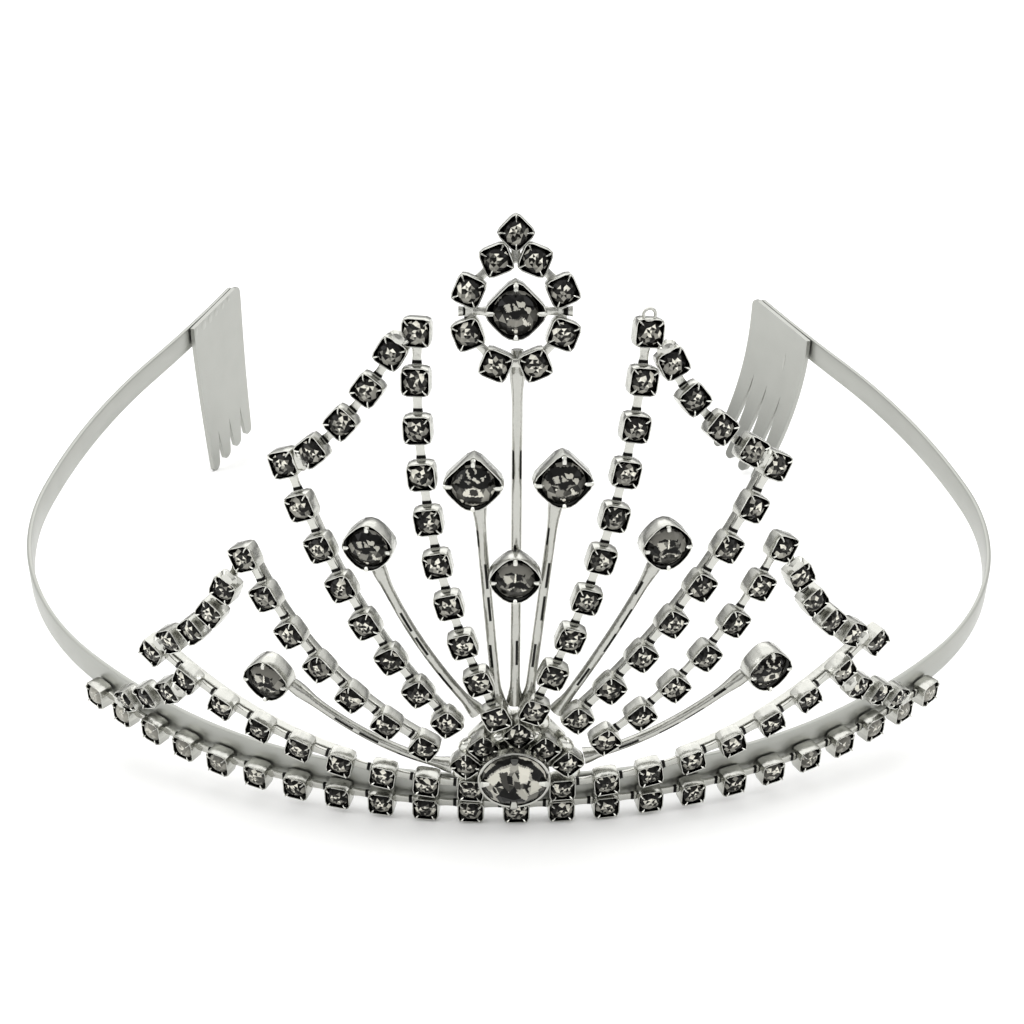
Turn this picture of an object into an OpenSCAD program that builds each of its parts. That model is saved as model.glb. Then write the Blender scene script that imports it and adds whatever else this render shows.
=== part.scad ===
// Rhinestone tiara: a flat metal headband that ends in two combs, with a fan of
// stone-set chains, single stones on wire stems and a ring-shaped crest in front.
// Lengths are in mm. x runs to the wearer's left in the picture's right, y to the
// back of the head, z up. It stands on z = 0 on the lowest front cup and the combs.

/* [Headband] */
// Width of the band strip at the front
band_w_front = 4.8; // [4:0.1:9]
// Width of the band strip at its rear ends
band_w_rear = 4.3; // [3:0.1:8]
// Thickness of the band strip
band_t = 0.8; // [0.5:0.1:1.5]
// Height of the strip's lower edge above the middle line of the lowest cups
band_lift = -0.5; // [-1:0.1:1]
// Length of the band's left half along its curve, with its comb
half_left = 197; // [170:0.5:210]
// Length of the band's right half along its curve, with its comb
half_right = 193.5; // [170:0.5:210]
// How far the strip ends before its comb's rear edge
strip_short = 0.8; // [0.5:0.1:5]
// Gap between a soldered-on piece and its neighbour
solder_gap = 0.12; // [0.05:0.01:0.3]

/* [Combs] */
// Width of a comb where it meets the band
comb_w = 19.6; // [10:0.2:24]
// Width of a comb across its tips
comb_tip_w = 17; // [8:0.2:20]
// Length of a comb below the band's lower edge
comb_drop = 28; // [15:0.5:40]
// Thickness of the comb sheet
comb_t = 0.8; // [0.5:0.1:1.5]
// Radius of the left comb's bow towards the head
comb_bow_left = 600; // [60:10:800]
// Radius of the right comb's bow towards the head
comb_bow_right = 60; // [50:1:800]
// Number of comb teeth
comb_teeth = 4; // [3:1:8]
// Length of the left comb's slits
slit_left = 7; // [4:0.5:24]
// Length of the right comb's slits
slit_right = 16; // [4:0.5:24]
// Width of a slit at the tips
slit_w = 2.4; // [1:0.1:3]
// Chamfer on the tips of the teeth and the comb's upper rear corner
tip_round = 0.6; // [0.3:0.1:1]

/* [Cup chain] */
// Pitch of the cups along a chain
pitch = 6; // [5:0.1:8]
// Side of a small square cup
cup_side = 3.5; // [3:0.1:4.5]
// Depth of a small cup behind the stone's face
cup_depth = 2.3; // [1.8:0.1:3]
// Chamfer on a small cup's upright corners
cup_corner = 0.45; // [0.2:0.05:0.8]
// Diameter of a small round stone
stone_d = 2.9; // [2.4:0.1:3.6]
// Clearance round a stone in its cup
stone_gap = 0.1; // [0.05:0.01:0.2]
// How far the claws reach over a stone's rim
claw_fold = 0.3; // [0.1:0.05:0.6]
// How far the claws stand out in front of the stones' faces
claw_out = 0.3; // [0.1:0.05:0.6]
// Width of the flat links between cups
link_w = 1.4; // [0.8:0.1:2]
// Thickness of the flat links
link_t = 0.5; // [0.3:0.1:0.8]
// Width of the support ribbon behind a rib, seen from the front
ribbon_w = 0.7; // [0.5:0.1:1.2]
// Depth of the support ribbon behind the cups
ribbon_d = 1; // [0.6:0.1:1.6]

/* [Crest surface] */
// Lean of the crest at the middle of the band, in degrees to the inside
lean_front = -2.4; // [-10:0.2:10]
// Further outward lean at the crest's outer ends, in degrees
lean_side = 8.9; // [0:0.5:15]
// Distance along the band from the middle to the crest's outer ends
crest_half = 68.6; // [50:1:80]
// Inward curl of the crest with height, in degrees per mm
crest_curl = 0.284; // [0.05:0.01:0.6]

/* [Big stones] */
// Diameter of a stone on a stem
big_stone_d = 5.3; // [4:0.1:7]
// Side of an inner stem stone's square cup
big_side = 6; // [5:0.1:8]
// Chamfer on its upright corners
big_corner = 0.7; // [0.2:0.05:1.2]
// Diameter of a stone in a rounder cup, on the middle and low stems
round_stone_d = 4.9; // [4:0.1:6]
// Side of the rounder cup
round_side = 5.8; // [5:0.1:7]
// Chamfer on its upright corners
round_corner = 1.6; // [0.8:0.05:1.8]
// Depth of a stem stone's cup
big_depth = 3; // [2.4:0.1:5]
// Diameter of the stem wire
wire_d = 1.3; // [0.8:0.1:2]
// Depth of the stem wire's middle line behind the stone faces
wire_n = 3.05; // [2:0.05:4]
// Diameter of the centre stone
centre_d = 8.5; // [6:0.1:12]
// How far the centre stone's rim stands in front of the small stones' faces
centre_out = 1.4; // [0.5:0.1:3]

/* [Crest ring] */
// Place of the crest ring's middle: along the band
ring_s = -0.6; // [-5:0.1:5]
// Place of the crest ring's middle: height up the crest
ring_h = 69.8; // [60:0.1:80]
// Radius of the ring through its cups' middles
ring_r = 6.6; // [5.5:0.1:9]
// Number of cups in the ring
ring_cups = 8; // [6:1:10]
// Height of the top cup above the ring's middle
top_cup_h = 9.2; // [8:0.1:12]
// Distance from the ring's middle down to the top of the centre stem
stem_below_ring = 4.8; // [4:0.1:8]

/* [Rest] */
// How far the crest's middle stands in front of the band's front cup at rest
crest_reach = 7; // [0:0.1:15]
// Whole depth of the tiara, front to back, at rest
rest_depth = 153.8; // [100:0.1:180]
// How far the tiara is moved sideways so that its box is centred
rest_side = -0.5; // [-3:0.1:3]

/* [Hidden] */
$fn = 40;
rad = 180 / PI;
// Each half of the band in plan, from the front: length of arc, turn in degrees
arcs_right = [[23, 14.6], [27, 18.8], [20, 11.2], [50, 54], [45, 17], [30, -4]];
arcs_left = [[23, 14.7], [27, 21.3], [20, 10.7], [50, 50], [45, 16.8], [30, -5]];
arc_len = 0;
arc_turn = 1;
strip_in = cup_depth + solder_gap;
comb_in = strip_in + band_t + solder_gap;
comb_s_left = half_left - comb_w / 2;
comb_s_right = half_right - comb_w / 2;

// Each rib, from tip to root: tip s, tip h, via s, via h, root s, root h,
// stones, first and last stone with a ribbon behind (-1 for none)
tip_s = 0;
tip_h = 1;
via_s = 2;
via_h = 3;
root_s = 4;
root_h = 5;
stones = 6;
ribbon_a = 7;
ribbon_b = 8;
rib1_left = [-13.3, 67.3, -13.5, 40, -2.7, 16, 10, -1, -1];
rib1_right = [16.5, 67, 13, 41, 2.1, 17, 10, -1, -1];
rib2_left = [-29.7, 49.8, -22.3, 30.5, -9, 14.8, 8, 1, 7];
rib2_right = [32.8, 48.8, 22.4, 30.4, 7.7, 15.4, 8, 0, 7];
rib3_left = [-35.1, 36, -27.4, 19.8, -12, 10.6, 7, 0, 6];
rib3_right = [34, 37.3, 25.7, 21.7, 11.4, 11.5, 7, -1, -1];
rib4_left = [-50.4, 16.5, -30, 4.8, -6, 3.8, 9, 0, 5];
rib4_right = [50, 18, 30.5, 4.3, 6, 3.8, 9, 0, 5];
// Each scallop between two rib tips, with the first six columns and stones as
// above, then the length of the link stub before its first and after its last cup
stub_a = 7;
stub_b = 8;
scallop_upper_l = [-16.5, 64.7, -21, 56.6, -26.2, 51.8, 4, 0, 0];
scallop_upper_r = [19.5, 63.2, 22.3, 56.6, 29.7, 51.2, 4, 0.6, 0];
scallop_middle_l = [-38, 30.8, -41, 23.6, -47, 19.8, 4, 1.8, 0.5];
scallop_middle_r = [36.7, 32.6, 40, 25, 45.7, 21, 4, 1.2, 1];
scallop_lower_l = [-48.7, 10.2, -53.2, 7.1, -57.9, 3.8, 3, 0.5, 0];
scallop_lower_r = [48.5, 10.6, 52.8, 7.4, 57.4, 4.1, 3, 0.7, 0];

// Each stem: the wire from under its cup past a via point to the root, in the
// same first six columns, then cup s, cup h, and 1 where the cup is the round kind
cup_s = 6;
cup_h = 7;
is_round = 8;
stem_inner_l = [-5.4, 48, -3.9, 32, -2.6, 16.73, -5.8, 48.8, 0];
stem_inner_r = [5.1, 48.2, 3, 32.5, 1.5, 16.73, 5.5, 49.1, 0];
stem_mid_l = [-19, 38.2, -14.6, 26.5, -5.3, 15.12, -18.9, 39.9, 1];
stem_mid_r = [18.9, 38.4, 14, 29, 5.3, 15.12, 18.6, 39.8, 1];
stem_low_l = [-31.5, 17, -19, 7.4, -8.6, 5.7, -32.8, 17.9, 1];
stem_low_r = [32.5, 18, 20, 9.2, 9.1, 7.1, 33.3, 18.8, 1];
centre_stem_h = 36.7;
centre_stem_top = ring_h - stem_below_ring;
centre_stem_root = 16.73;
// The centre stem's cup stands clear of the inner stems' wires
centre_stem_n = big_depth - wire_n + wire_d / 2 + 0.15;

// The five small cups over the centre stone: s, h
cluster = [[-6.6, 8], [-4.3, 11], [0.2, 13.2], [3.6, 10.8], [6.6, 8.2]];
centre_s = -0.4;
centre_h = 7.4;
plate = [[-7, 5], [7, 5], [8.4, 8], [7.6, 11.5], [5, 14.6], [3, 16.2],
    [-3, 16.2], [-5, 14.6], [-7.6, 11.5], [-8.4, 8]];
// The plate lies flat behind the cups; it touches the crest surface at plate_h
plate_h = 11;
plate_t = 0.9;
plate_n = cup_depth + 0.2;

// The band in plan.
// One step along an arc from p = [x, y, heading]
function arc_step(p, len, turn) =
    turn == 0 ? [p[0] + len * cos(p[2]), p[1] + len * sin(p[2]), p[2]] :
    let (r = len / turn * rad)
    [p[0] + r * (sin(p[2] + turn) - sin(p[2])),
     p[1] + r * (cos(p[2]) - cos(p[2] + turn)), p[2] + turn];
// The point s along one half: [x, y, heading]
function half_line(arcs, s, i = 0, p = [0, 0, 0]) =
    let (a = arcs[i])
    s <= a[arc_len] || i == len(arcs) - 1
        ? arc_step(p, s, a[arc_turn] * s / a[arc_len])
        : half_line(arcs, s - a[arc_len], i + 1, arc_step(p, a[arc_len], a[arc_turn]));
// Either half, s < 0 on the left
function front_line(s) =
    s >= 0 ? half_line(arcs_right, s) :
    let (q = half_line(arcs_left, -s)) [-q[0], q[1], -q[2]];
// The same line moved inwards by d
function inset(s, d) =
    let (q = front_line(s)) [q[0] - d * sin(q[2]), q[1] + d * cos(q[2])];

// The crest surface: s along the band, h up the crest, n out of it.
function lean(s) = lean_front - lean_side * pow(s / crest_half, 2);
module on_crest(s, h, n = 0, turn = 0) {
    q = front_line(s);
    a = lean(s);
    t = a + crest_curl * h;
    run = (cos(a) - cos(t)) * rad / crest_curl;
    rise = (sin(t) - sin(a)) * rad / crest_curl;
    nx = -sin(q[2]);
    ny = cos(q[2]);
    multmatrix([
        [cos(q[2]), sin(t) * nx, -cos(t) * nx, q[0] + run * nx],
        [sin(q[2]), sin(t) * ny, -cos(t) * ny, q[1] + run * ny],
        [0, cos(t), sin(t), rise],
        [0, 0, 0, 1]])
        translate([0, 0, n]) rotate([0, 0, turn]) children();
}
// Upright frame on the front line, for what is soldered flat on the strip
module on_band(s, z, n = 0) {
    q = front_line(s);
    nx = -sin(q[2]);
    ny = cos(q[2]);
    multmatrix([
        [cos(q[2]), 0, -nx, q[0]],
        [sin(q[2]), 0, -ny, q[1]],
        [0, 1, 0, z],
        [0, 0, 0, 1]])
        translate([0, 0, n]) children();
}

// Curves from a tip past a via point to a root.
function bend(r, t) = [
    (1 - t) * (1 - t) * r[tip_s] + 2 * t * (1 - t) * r[via_s] + t * t * r[root_s],
    (1 - t) * (1 - t) * r[tip_h] + 2 * t * (1 - t) * r[via_h] + t * t * r[root_h]];
function bend_lens(r) = let (p = [for (i = [0:40]) bend(r, i / 40)])
    [for (i = 0, l = 0; i <= 40; l = l + (i < 40 ? norm(p[i + 1] - p[i]) : 0), i = i + 1)
        [l, i / 40]];
// The point at a part u of the curve's length
function along(r, u) = let (t = bend_lens(r)) bend(r, lookup(u * t[40][0], t));
function heading(r, u) =
    let (d = along(r, min(1, u + 0.02)) - along(r, max(0, u - 0.02))) atan2(d[1], d[0]);
function bend_len(r) = bend_lens(r)[40][0];

// Cups and stones: z = 0 on the stone's face.
module chamfered(side, corner, h) {
    a = side / 2;
    b = a - corner;
    linear_extrude(height = h)
        polygon([[a, b], [b, a], [-b, a], [-a, b], [-a, -b], [-b, -a], [b, -a], [a, -b]]);
}
// A square cup with four claws at its corners, folded over the stone's rim
module cup(side, depth, stone, corner, floor_t = 0.35) {
    rim = stone * 0.19;
    difference() {
        translate([0, 0, -depth]) chamfered(side, corner, depth + claw_out);
        translate([0, 0, floor_t - depth])
            cylinder(d = stone + 2 * stone_gap, h = depth - floor_t - 0.05);
        translate([0, 0, -0.1]) cylinder(d = stone - 2 * claw_fold, h = 1);
        for (a = [0, 90]) rotate([0, 0, a])
            translate([-side * 0.27, -side, -rim]) cube([side * 0.54, 2 * side, 2]);
    }
}
module small_cup() { cup(cup_side, cup_depth, stone_d, cup_corner); }
module big_cup() { cup(big_side, big_depth, big_stone_d, big_corner); }
module round_cup() { cup(round_side, big_depth, round_stone_d, round_corner); }
// A round stone: flat table, eight crown facets, rim and eight facets below
module gem(d, crown, pavilion) {
    r = d / 2;
    rotate([0, 0, 22.5]) rotate_extrude($fn = 8)
        polygon([[0, -crown - pavilion], [r, -crown - 0.1], [r, -crown],
                 [r * 0.6, 0], [0, 0]]);
}
module small_gem() { gem(stone_d, stone_d * 0.16, cup_depth * 0.55); }
module big_gem() { gem(big_stone_d, big_stone_d * 0.16, big_depth * 0.5); }
module round_gem() { gem(round_stone_d, round_stone_d * 0.16, big_depth * 0.5); }

// A chain of cups along a curve.
function place(r, i) = i / (r[stones] - 1);
module at_stone(r, i) {
    u = place(r, i);
    p = along(r, u);
    on_crest(p[0], p[1], 0, heading(r, u)) children();
}
// A bar between stones i and i + 1: w across, from n = -low up to -high
module bar(r, i, w, low, high, over) {
    u = (place(r, i) + place(r, i + 1)) / 2;
    p = along(r, u);
    l = bend_len(r) / (r[stones] - 1) + over;
    on_crest(p[0], p[1], -low, heading(r, u))
        translate([-l / 2, -w / 2, 0]) cube([l, w, low - high]);
}
module cups_and_links(r) {
    for (i = [0:r[stones] - 1]) at_stone(r, i) small_cup();
    for (i = [0:r[stones] - 2])
        bar(r, i, link_w, cup_depth - 0.3, cup_depth - 0.3 - link_t, 0.4 - cup_side);
}
module stub(length) {
    translate([cup_side / 2 - 0.2, -link_w / 2, 0.3 - cup_depth])
        cube([length + 0.2, link_w, link_t]);
}
module scallop_metal(r) {
    cups_and_links(r);
    if (r[stub_a] > 0) at_stone(r, 0) rotate([0, 0, 180]) stub(r[stub_a]);
    if (r[stub_b] > 0) at_stone(r, r[stones] - 1) stub(r[stub_b]);
}
module chain_metal(r) {
    cups_and_links(r);
    if (r[ribbon_a] >= 0)
        for (i = [r[ribbon_a]:r[ribbon_b] - 1])
            bar(r, i, ribbon_w, cup_depth + ribbon_d, cup_depth - 0.05, 0.5);
}
module chain_stones(r) {
    for (i = [0:r[stones] - 1]) at_stone(r, i) small_gem();
}

// A stem: wire segments and a big cup turned on its corner.
// The wire: parts of the curve where it is jointed
wire_parts = [0, 0.18, 0.38, 0.58, 0.8, 1];
module wire(a, b) {
    m = (a + b) / 2;
    d = b - a;
    on_crest(m[0], m[1], -wire_n, atan2(d[1], d[0]))
        translate([-norm(d) / 2 - 0.15, 0, 0]) rotate([0, 90, 0])
            rotate([0, 0, 22.5]) cylinder(d = wire_d, h = norm(d) + 0.3, $fn = 8);
}
module stem(r) {
    on_crest(r[cup_s], r[cup_h], 0, 45) if (r[is_round] == 1) round_cup(); else big_cup();
    for (i = [0:len(wire_parts) - 2])
        wire(along(r, wire_parts[i]), along(r, wire_parts[i + 1]));
}
module stem_gem(r) {
    on_crest(r[cup_s], r[cup_h], 0, 45) if (r[is_round] == 1) round_gem(); else big_gem();
}

// At rest: tipped forward so that the front cup and the comb tips touch z = 0.
left_end = front_line(-comb_s_left);
right_end = front_line(comb_s_right);
// How far inwards a comb's tips lie, and how far back its foremost tooth touches
function tip_in(bow, drop) =
    comb_in + bow - sqrt(pow(bow - comb_t, 2) - pow(drop + band_w_rear / 2, 2));
function tip_y(end, bow, drop) = end[1] + cos(end[2]) * tip_in(bow, drop)
    - sin(abs(end[2])) * (comb_tip_w / 2 - tip_round);
left_tip_y = tip_y(left_end, comb_bow_left, comb_drop);
rest_tilt = atan2(comb_drop - band_lift - cup_side / 2, left_tip_y + claw_out);
// The right comb ends where it meets the same floor
function level_drop(d, n) = n == 0 ? d : level_drop(comb_drop
    - (left_tip_y - tip_y(right_end, comb_bow_right, d)) * tan(rest_tilt), n - 1);
drop_right = level_drop(comb_drop, 4);
module rest() {
    translate([rest_side, crest_reach - rest_depth / 2,
               cup_side / 2 * cos(rest_tilt) + claw_out * sin(rest_tilt)])
        rotate([rest_tilt, 0, 0]) children();
}

// The sub-parts.
module headband() {
    steps = 52;
    reach = half_left + half_right;
    left = (half_left - strip_short) / steps;
    right = (half_right - strip_short) / steps;
    s = [for (i = [-steps:steps]) i * (i < 0 ? left : right)];
    outer = [for (a = s) inset(a, strip_in)];
    inner = [for (i = [2 * steps:-1:0]) inset(s[i], strip_in + band_t)];
    back = right_end[1];
    color("silver") intersection() {
        linear_extrude(height = 2 * band_w_front) polygon(concat(outer, inner));
        rotate([90, 0, 90]) translate([0, 0, -reach]) linear_extrude(height = 2 * reach)
            polygon([[-band_w_front, band_lift], [reach, band_lift],
                     [reach, band_lift + band_w_front
                         - (band_w_front - band_w_rear) * reach / back],
                     [0, band_lift + band_w_front],
                     [-band_w_front, band_lift + band_w_front]]);
    }
}

// A comb: bowed sheet on the strip's inner face, with slits between its teeth
module comb(bow, drop, slit) {
    w = comb_w / 2;
    wt = comb_tip_w / 2;
    top = band_lift + band_w_rear;
    low = band_lift - drop;
    tooth = (comb_tip_w + slit_w) / comb_teeth;
    color("silver") difference() {
        intersection() {
            translate([0, 0, -comb_in - drop / 2]) linear_extrude(height = drop / 2 + 1)
                polygon([[-w, top], [-w, band_lift], [-wt, low + tip_round],
                         [-wt + tip_round, low], [wt - tip_round, low],
                         [wt, low + tip_round], [w, band_lift], [w, top - 2 * tip_round],
                         [w - tip_round, top - tip_round / 2], [w - 2 * tip_round, top]]);
            translate([-w - 1, top - band_w_rear / 2, -comb_in - bow])
                rotate([0, 90, 0]) difference() {
                    cylinder(r = bow, h = comb_w + 2, $fn = 360);
                    translate([0, 0, -1])
                        cylinder(r = bow - comb_t, h = comb_w + 4, $fn = 360);
                }
        }
        for (i = [1:comb_teeth - 1])
            translate([(i - comb_teeth / 2) * tooth, low, -comb_in - drop])
                linear_extrude(height = 2 * drop)
                    polygon([[-slit_w / 2 - tip_round, -1], [-slit_w / 2 - tip_round, 0],
                             [-slit_w / 2, tip_round], [-0.15, slit], [0.15, slit],
                             [slit_w / 2, tip_round], [slit_w / 2 + tip_round, 0],
                             [slit_w / 2 + tip_round, -1]]);
    }
}
module comb_right() {
    on_band(comb_s_right, 0) comb(comb_bow_right, drop_right, slit_right);
}
module comb_left() {
    on_band(-comb_s_left, 0) mirror([1, 0, 0]) comb(comb_bow_left, comb_drop, slit_left);
}

base_n = 11;
module base_chain() {
    color("silver") {
        for (i = [-base_n:base_n]) on_band(i * pitch, 0) small_cup();
        for (i = [-base_n:base_n - 1]) on_band((i + 0.5) * pitch, 0.3 - link_w / 2, 0.3 - cup_depth)
            translate([-(pitch - cup_side + 0.4) / 2, 0, 0])
                cube([pitch - cup_side + 0.4, link_w, link_t]);
    }
}
module base_stones() {
    color("lightgrey") for (i = [-base_n:base_n]) on_band(i * pitch, 0) small_gem();
}

module stem_centre() {
    color("silver") {
        on_crest(-0.5, centre_stem_h, centre_stem_n, 45) round_cup();
        on_crest(-0.3, centre_stem_h, -wire_n) cylinder(d = 2, h = wire_n - 1.5);
        for (i = [0:5]) let (l = (centre_stem_top - centre_stem_root) / 6)
            wire([-0.3, centre_stem_root + i * l], [-0.3, centre_stem_root + (i + 1) * l]);
    }
}
module stem_centre_stone() {
    color("lightgrey") on_crest(-0.5, centre_stem_h, centre_stem_n, 45) round_gem();
}

// The crest: a ring of cups, the top cup and the setting inside the ring
module ring_at(i) {
    a = (i + 0.5) * 360 / ring_cups;
    on_crest(ring_s + ring_r * cos(a), ring_h + ring_r * sin(a), 0, a) children();
}
module crest_ring() {
    chord = 2 * ring_r * sin(180 / ring_cups);
    color("silver") {
        for (i = [0:ring_cups - 1]) ring_at(i) small_cup();
        for (i = [0:ring_cups - 1])
            let (a = (i + 1) * 360 / ring_cups, r = ring_r * cos(180 / ring_cups))
            on_crest(ring_s + r * cos(a), ring_h + r * sin(a), 0.3 - cup_depth, a + 90)
                translate([-chord / 2 + 0.9, -link_w / 2, 0]) cube([chord - 1.8, link_w, link_t]);
        on_crest(ring_s, ring_h + top_cup_h, 0, 45) small_cup();
        on_crest(ring_s, ring_h + ring_r, 0.3 - cup_depth)
            translate([-link_w / 2, -0.8, 0]) cube([link_w, 2.2, link_t]);
        on_crest(ring_s, ring_h, 0, 45) big_cup();
        for (a = [0, 180]) on_crest(ring_s, ring_h, -cup_depth, a)
            translate([3, -0.6, 0]) cube([ring_r - 3, 1.2, 0.7]);
    }
}
module crest_stones() {
    color("lightgrey") {
        for (i = [0:ring_cups - 1]) ring_at(i) small_gem();
        on_crest(ring_s, ring_h + top_cup_h, 0, 45) small_gem();
    }
}
module crest_centre_stone() { color("lightgrey") on_crest(ring_s, ring_h, 0, 45) big_gem(); }

// The centre: a round setting and five small cups on a back plate
module centre_mount() {
    r = centre_d / 2;
    color("silver") union() {
        on_crest(0, plate_h, -plate_n - plate_t) translate([0, -plate_h, 0])
            linear_extrude(height = plate_t) polygon(plate);
        for (c = cluster) on_crest(c[0], c[1], -0.1, 45)
            cup(cup_side, plate_n + 0.1, stone_d, cup_corner, 0.5);
        difference() {
            on_crest(centre_s, centre_h) {
                translate([0, 0, -plate_n - 0.2])
                    cylinder(r = r * 0.82, h = plate_n + centre_out - 0.5);
                translate([0, 0, centre_out - 1]) cylinder(r = r + 0.45, h = 1.2);
                for (a = [0:90:270]) rotate([0, 0, a])
                    translate([r - 0.45, -0.55, centre_out]) cube([0.9, 1.1, 0.75]);
            }
            on_crest(centre_s, centre_h) {
                translate([0, 0, centre_out - 3])
                    cylinder(r1 = 0.3, r2 = r + stone_gap, h = 3);
                translate([0, 0, centre_out - 0.01]) cylinder(r = r + stone_gap, h = 0.45);
            }
        }
    }
}
module cluster_stones() {
    color("lightgrey") for (c = cluster) on_crest(c[0], c[1], -0.1, 45) small_gem();
}
module centre_stone() {
    r = centre_d / 2;
    color("lightgrey") on_crest(centre_s, centre_h, centre_out)
        rotate([0, 0, 22.5]) rotate_extrude($fn = 8)
            polygon([[0, -2.6], [r * 0.97, 0], [r, 0.2], [r * 0.58, 1.2], [0, 1.2]]);
}

module rib_1_left() { color("silver") chain_metal(rib1_left); }
module rib_1_right() { color("silver") chain_metal(rib1_right); }
module rib_2_left() { color("silver") chain_metal(rib2_left); }
module rib_2_right() { color("silver") chain_metal(rib2_right); }
module rib_3_left() { color("silver") chain_metal(rib3_left); }
module rib_3_right() { color("silver") chain_metal(rib3_right); }
module rib_4_left() { color("silver") chain_metal(rib4_left); }
module rib_4_right() { color("silver") chain_metal(rib4_right); }
module scallop_upper_left() { color("silver") scallop_metal(scallop_upper_l); }
module scallop_upper_right() { color("silver") scallop_metal(scallop_upper_r); }
module scallop_middle_left() { color("silver") scallop_metal(scallop_middle_l); }
module scallop_middle_right() { color("silver") scallop_metal(scallop_middle_r); }
module scallop_lower_left() { color("silver") scallop_metal(scallop_lower_l); }
module scallop_lower_right() { color("silver") scallop_metal(scallop_lower_r); }
module rib_1_left_stones() { color("lightgrey") chain_stones(rib1_left); }
module rib_1_right_stones() { color("lightgrey") chain_stones(rib1_right); }
module rib_2_left_stones() { color("lightgrey") chain_stones(rib2_left); }
module rib_2_right_stones() { color("lightgrey") chain_stones(rib2_right); }
module rib_3_left_stones() { color("lightgrey") chain_stones(rib3_left); }
module rib_3_right_stones() { color("lightgrey") chain_stones(rib3_right); }
module rib_4_left_stones() { color("lightgrey") chain_stones(rib4_left); }
module rib_4_right_stones() { color("lightgrey") chain_stones(rib4_right); }
module scallop_upper_left_stones() { color("lightgrey") chain_stones(scallop_upper_l); }
module scallop_upper_right_stones() { color("lightgrey") chain_stones(scallop_upper_r); }
module scallop_middle_left_stones() { color("lightgrey") chain_stones(scallop_middle_l); }
module scallop_middle_right_stones() { color("lightgrey") chain_stones(scallop_middle_r); }
module scallop_lower_left_stones() { color("lightgrey") chain_stones(scallop_lower_l); }
module scallop_lower_right_stones() { color("lightgrey") chain_stones(scallop_lower_r); }
module stem_inner_left() { color("silver") stem(stem_inner_l); }
module stem_inner_right() { color("silver") stem(stem_inner_r); }
module stem_mid_left() { color("silver") stem(stem_mid_l); }
module stem_mid_right() { color("silver") stem(stem_mid_r); }
module stem_low_left() { color("silver") stem(stem_low_l); }
module stem_low_right() { color("silver") stem(stem_low_r); }
module stem_inner_left_stone() { color("lightgrey") stem_gem(stem_inner_l); }
module stem_inner_right_stone() { color("lightgrey") stem_gem(stem_inner_r); }
module stem_mid_left_stone() { color("lightgrey") stem_gem(stem_mid_l); }
module stem_mid_right_stone() { color("lightgrey") stem_gem(stem_mid_r); }
module stem_low_left_stone() { color("lightgrey") stem_gem(stem_low_l); }
module stem_low_right_stone() { color("lightgrey") stem_gem(stem_low_r); }

rest() headband();
rest() comb_left();
rest() comb_right();
rest() base_chain();
rest() base_stones();
rest() rib_1_left();
rest() rib_1_right();
rest() rib_2_left();
rest() rib_2_right();
rest() rib_3_left();
rest() rib_3_right();
rest() rib_4_left();
rest() rib_4_right();
rest() scallop_upper_left();
rest() scallop_upper_right();
rest() scallop_middle_left();
rest() scallop_middle_right();
rest() scallop_lower_left();
rest() scallop_lower_right();
rest() rib_1_left_stones();
rest() rib_1_right_stones();
rest() rib_2_left_stones();
rest() rib_2_right_stones();
rest() rib_3_left_stones();
rest() rib_3_right_stones();
rest() rib_4_left_stones();
rest() rib_4_right_stones();
rest() scallop_upper_left_stones();
rest() scallop_upper_right_stones();
rest() scallop_middle_left_stones();
rest() scallop_middle_right_stones();
rest() scallop_lower_left_stones();
rest() scallop_lower_right_stones();
rest() stem_inner_left();
rest() stem_inner_right();
rest() stem_mid_left();
rest() stem_mid_right();
rest() stem_low_left();
rest() stem_low_right();
rest() stem_centre();
rest() stem_inner_left_stone();
rest() stem_inner_right_stone();
rest() stem_mid_left_stone();
rest() stem_mid_right_stone();
rest() stem_low_left_stone();
rest() stem_low_right_stone();
rest() stem_centre_stone();
rest() crest_ring();
rest() crest_stones();
rest() crest_centre_stone();
rest() centre_mount();
rest() cluster_stones();
rest() centre_stone();
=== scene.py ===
import math

import bmesh
import bpy
import numpy as np
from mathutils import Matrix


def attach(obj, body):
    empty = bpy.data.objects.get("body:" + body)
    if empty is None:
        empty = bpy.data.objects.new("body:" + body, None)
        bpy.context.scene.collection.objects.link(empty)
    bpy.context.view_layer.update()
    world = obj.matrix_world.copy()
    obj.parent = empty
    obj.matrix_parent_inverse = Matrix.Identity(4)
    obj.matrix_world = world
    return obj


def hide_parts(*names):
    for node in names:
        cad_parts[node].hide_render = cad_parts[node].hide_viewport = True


bl_info = {
    "name": "Rhinestone Tiara",
    "version": (1, 0, 0),
    "blender": (4, 5, 0),
    "location": "View3D > Sidebar > Tiara",
    "description": "Dresses the tiara with cups, claws, cut stones, wires, band and combs",
    "category": "Object",
}

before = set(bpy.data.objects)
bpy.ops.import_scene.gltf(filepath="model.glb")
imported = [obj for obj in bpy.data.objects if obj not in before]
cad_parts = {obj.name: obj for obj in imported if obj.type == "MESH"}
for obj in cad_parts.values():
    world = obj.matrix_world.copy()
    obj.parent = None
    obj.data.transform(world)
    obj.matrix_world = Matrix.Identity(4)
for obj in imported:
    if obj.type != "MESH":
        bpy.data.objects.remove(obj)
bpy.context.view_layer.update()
MM = 0.001

# The band in plan, from the front: length of arc in mm, turn in degrees
ARCS_RIGHT = ((23, 14.6), (27, 18.8), (20, 11.2), (50, 54), (45, 17), (30, -4))
ARCS_LEFT = ((23, 14.7), (27, 21.3), (20, 10.7), (50, 50), (45, 16.8), (30, -5))
# Length of each half with its comb, how far short of it the strip ends, and the radius
# of the strip's corners there
HALF_RIGHT, HALF_LEFT, STRIP_SHORT, STRIP_R = 193.5, 197, 0.8, 1.5
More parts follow.
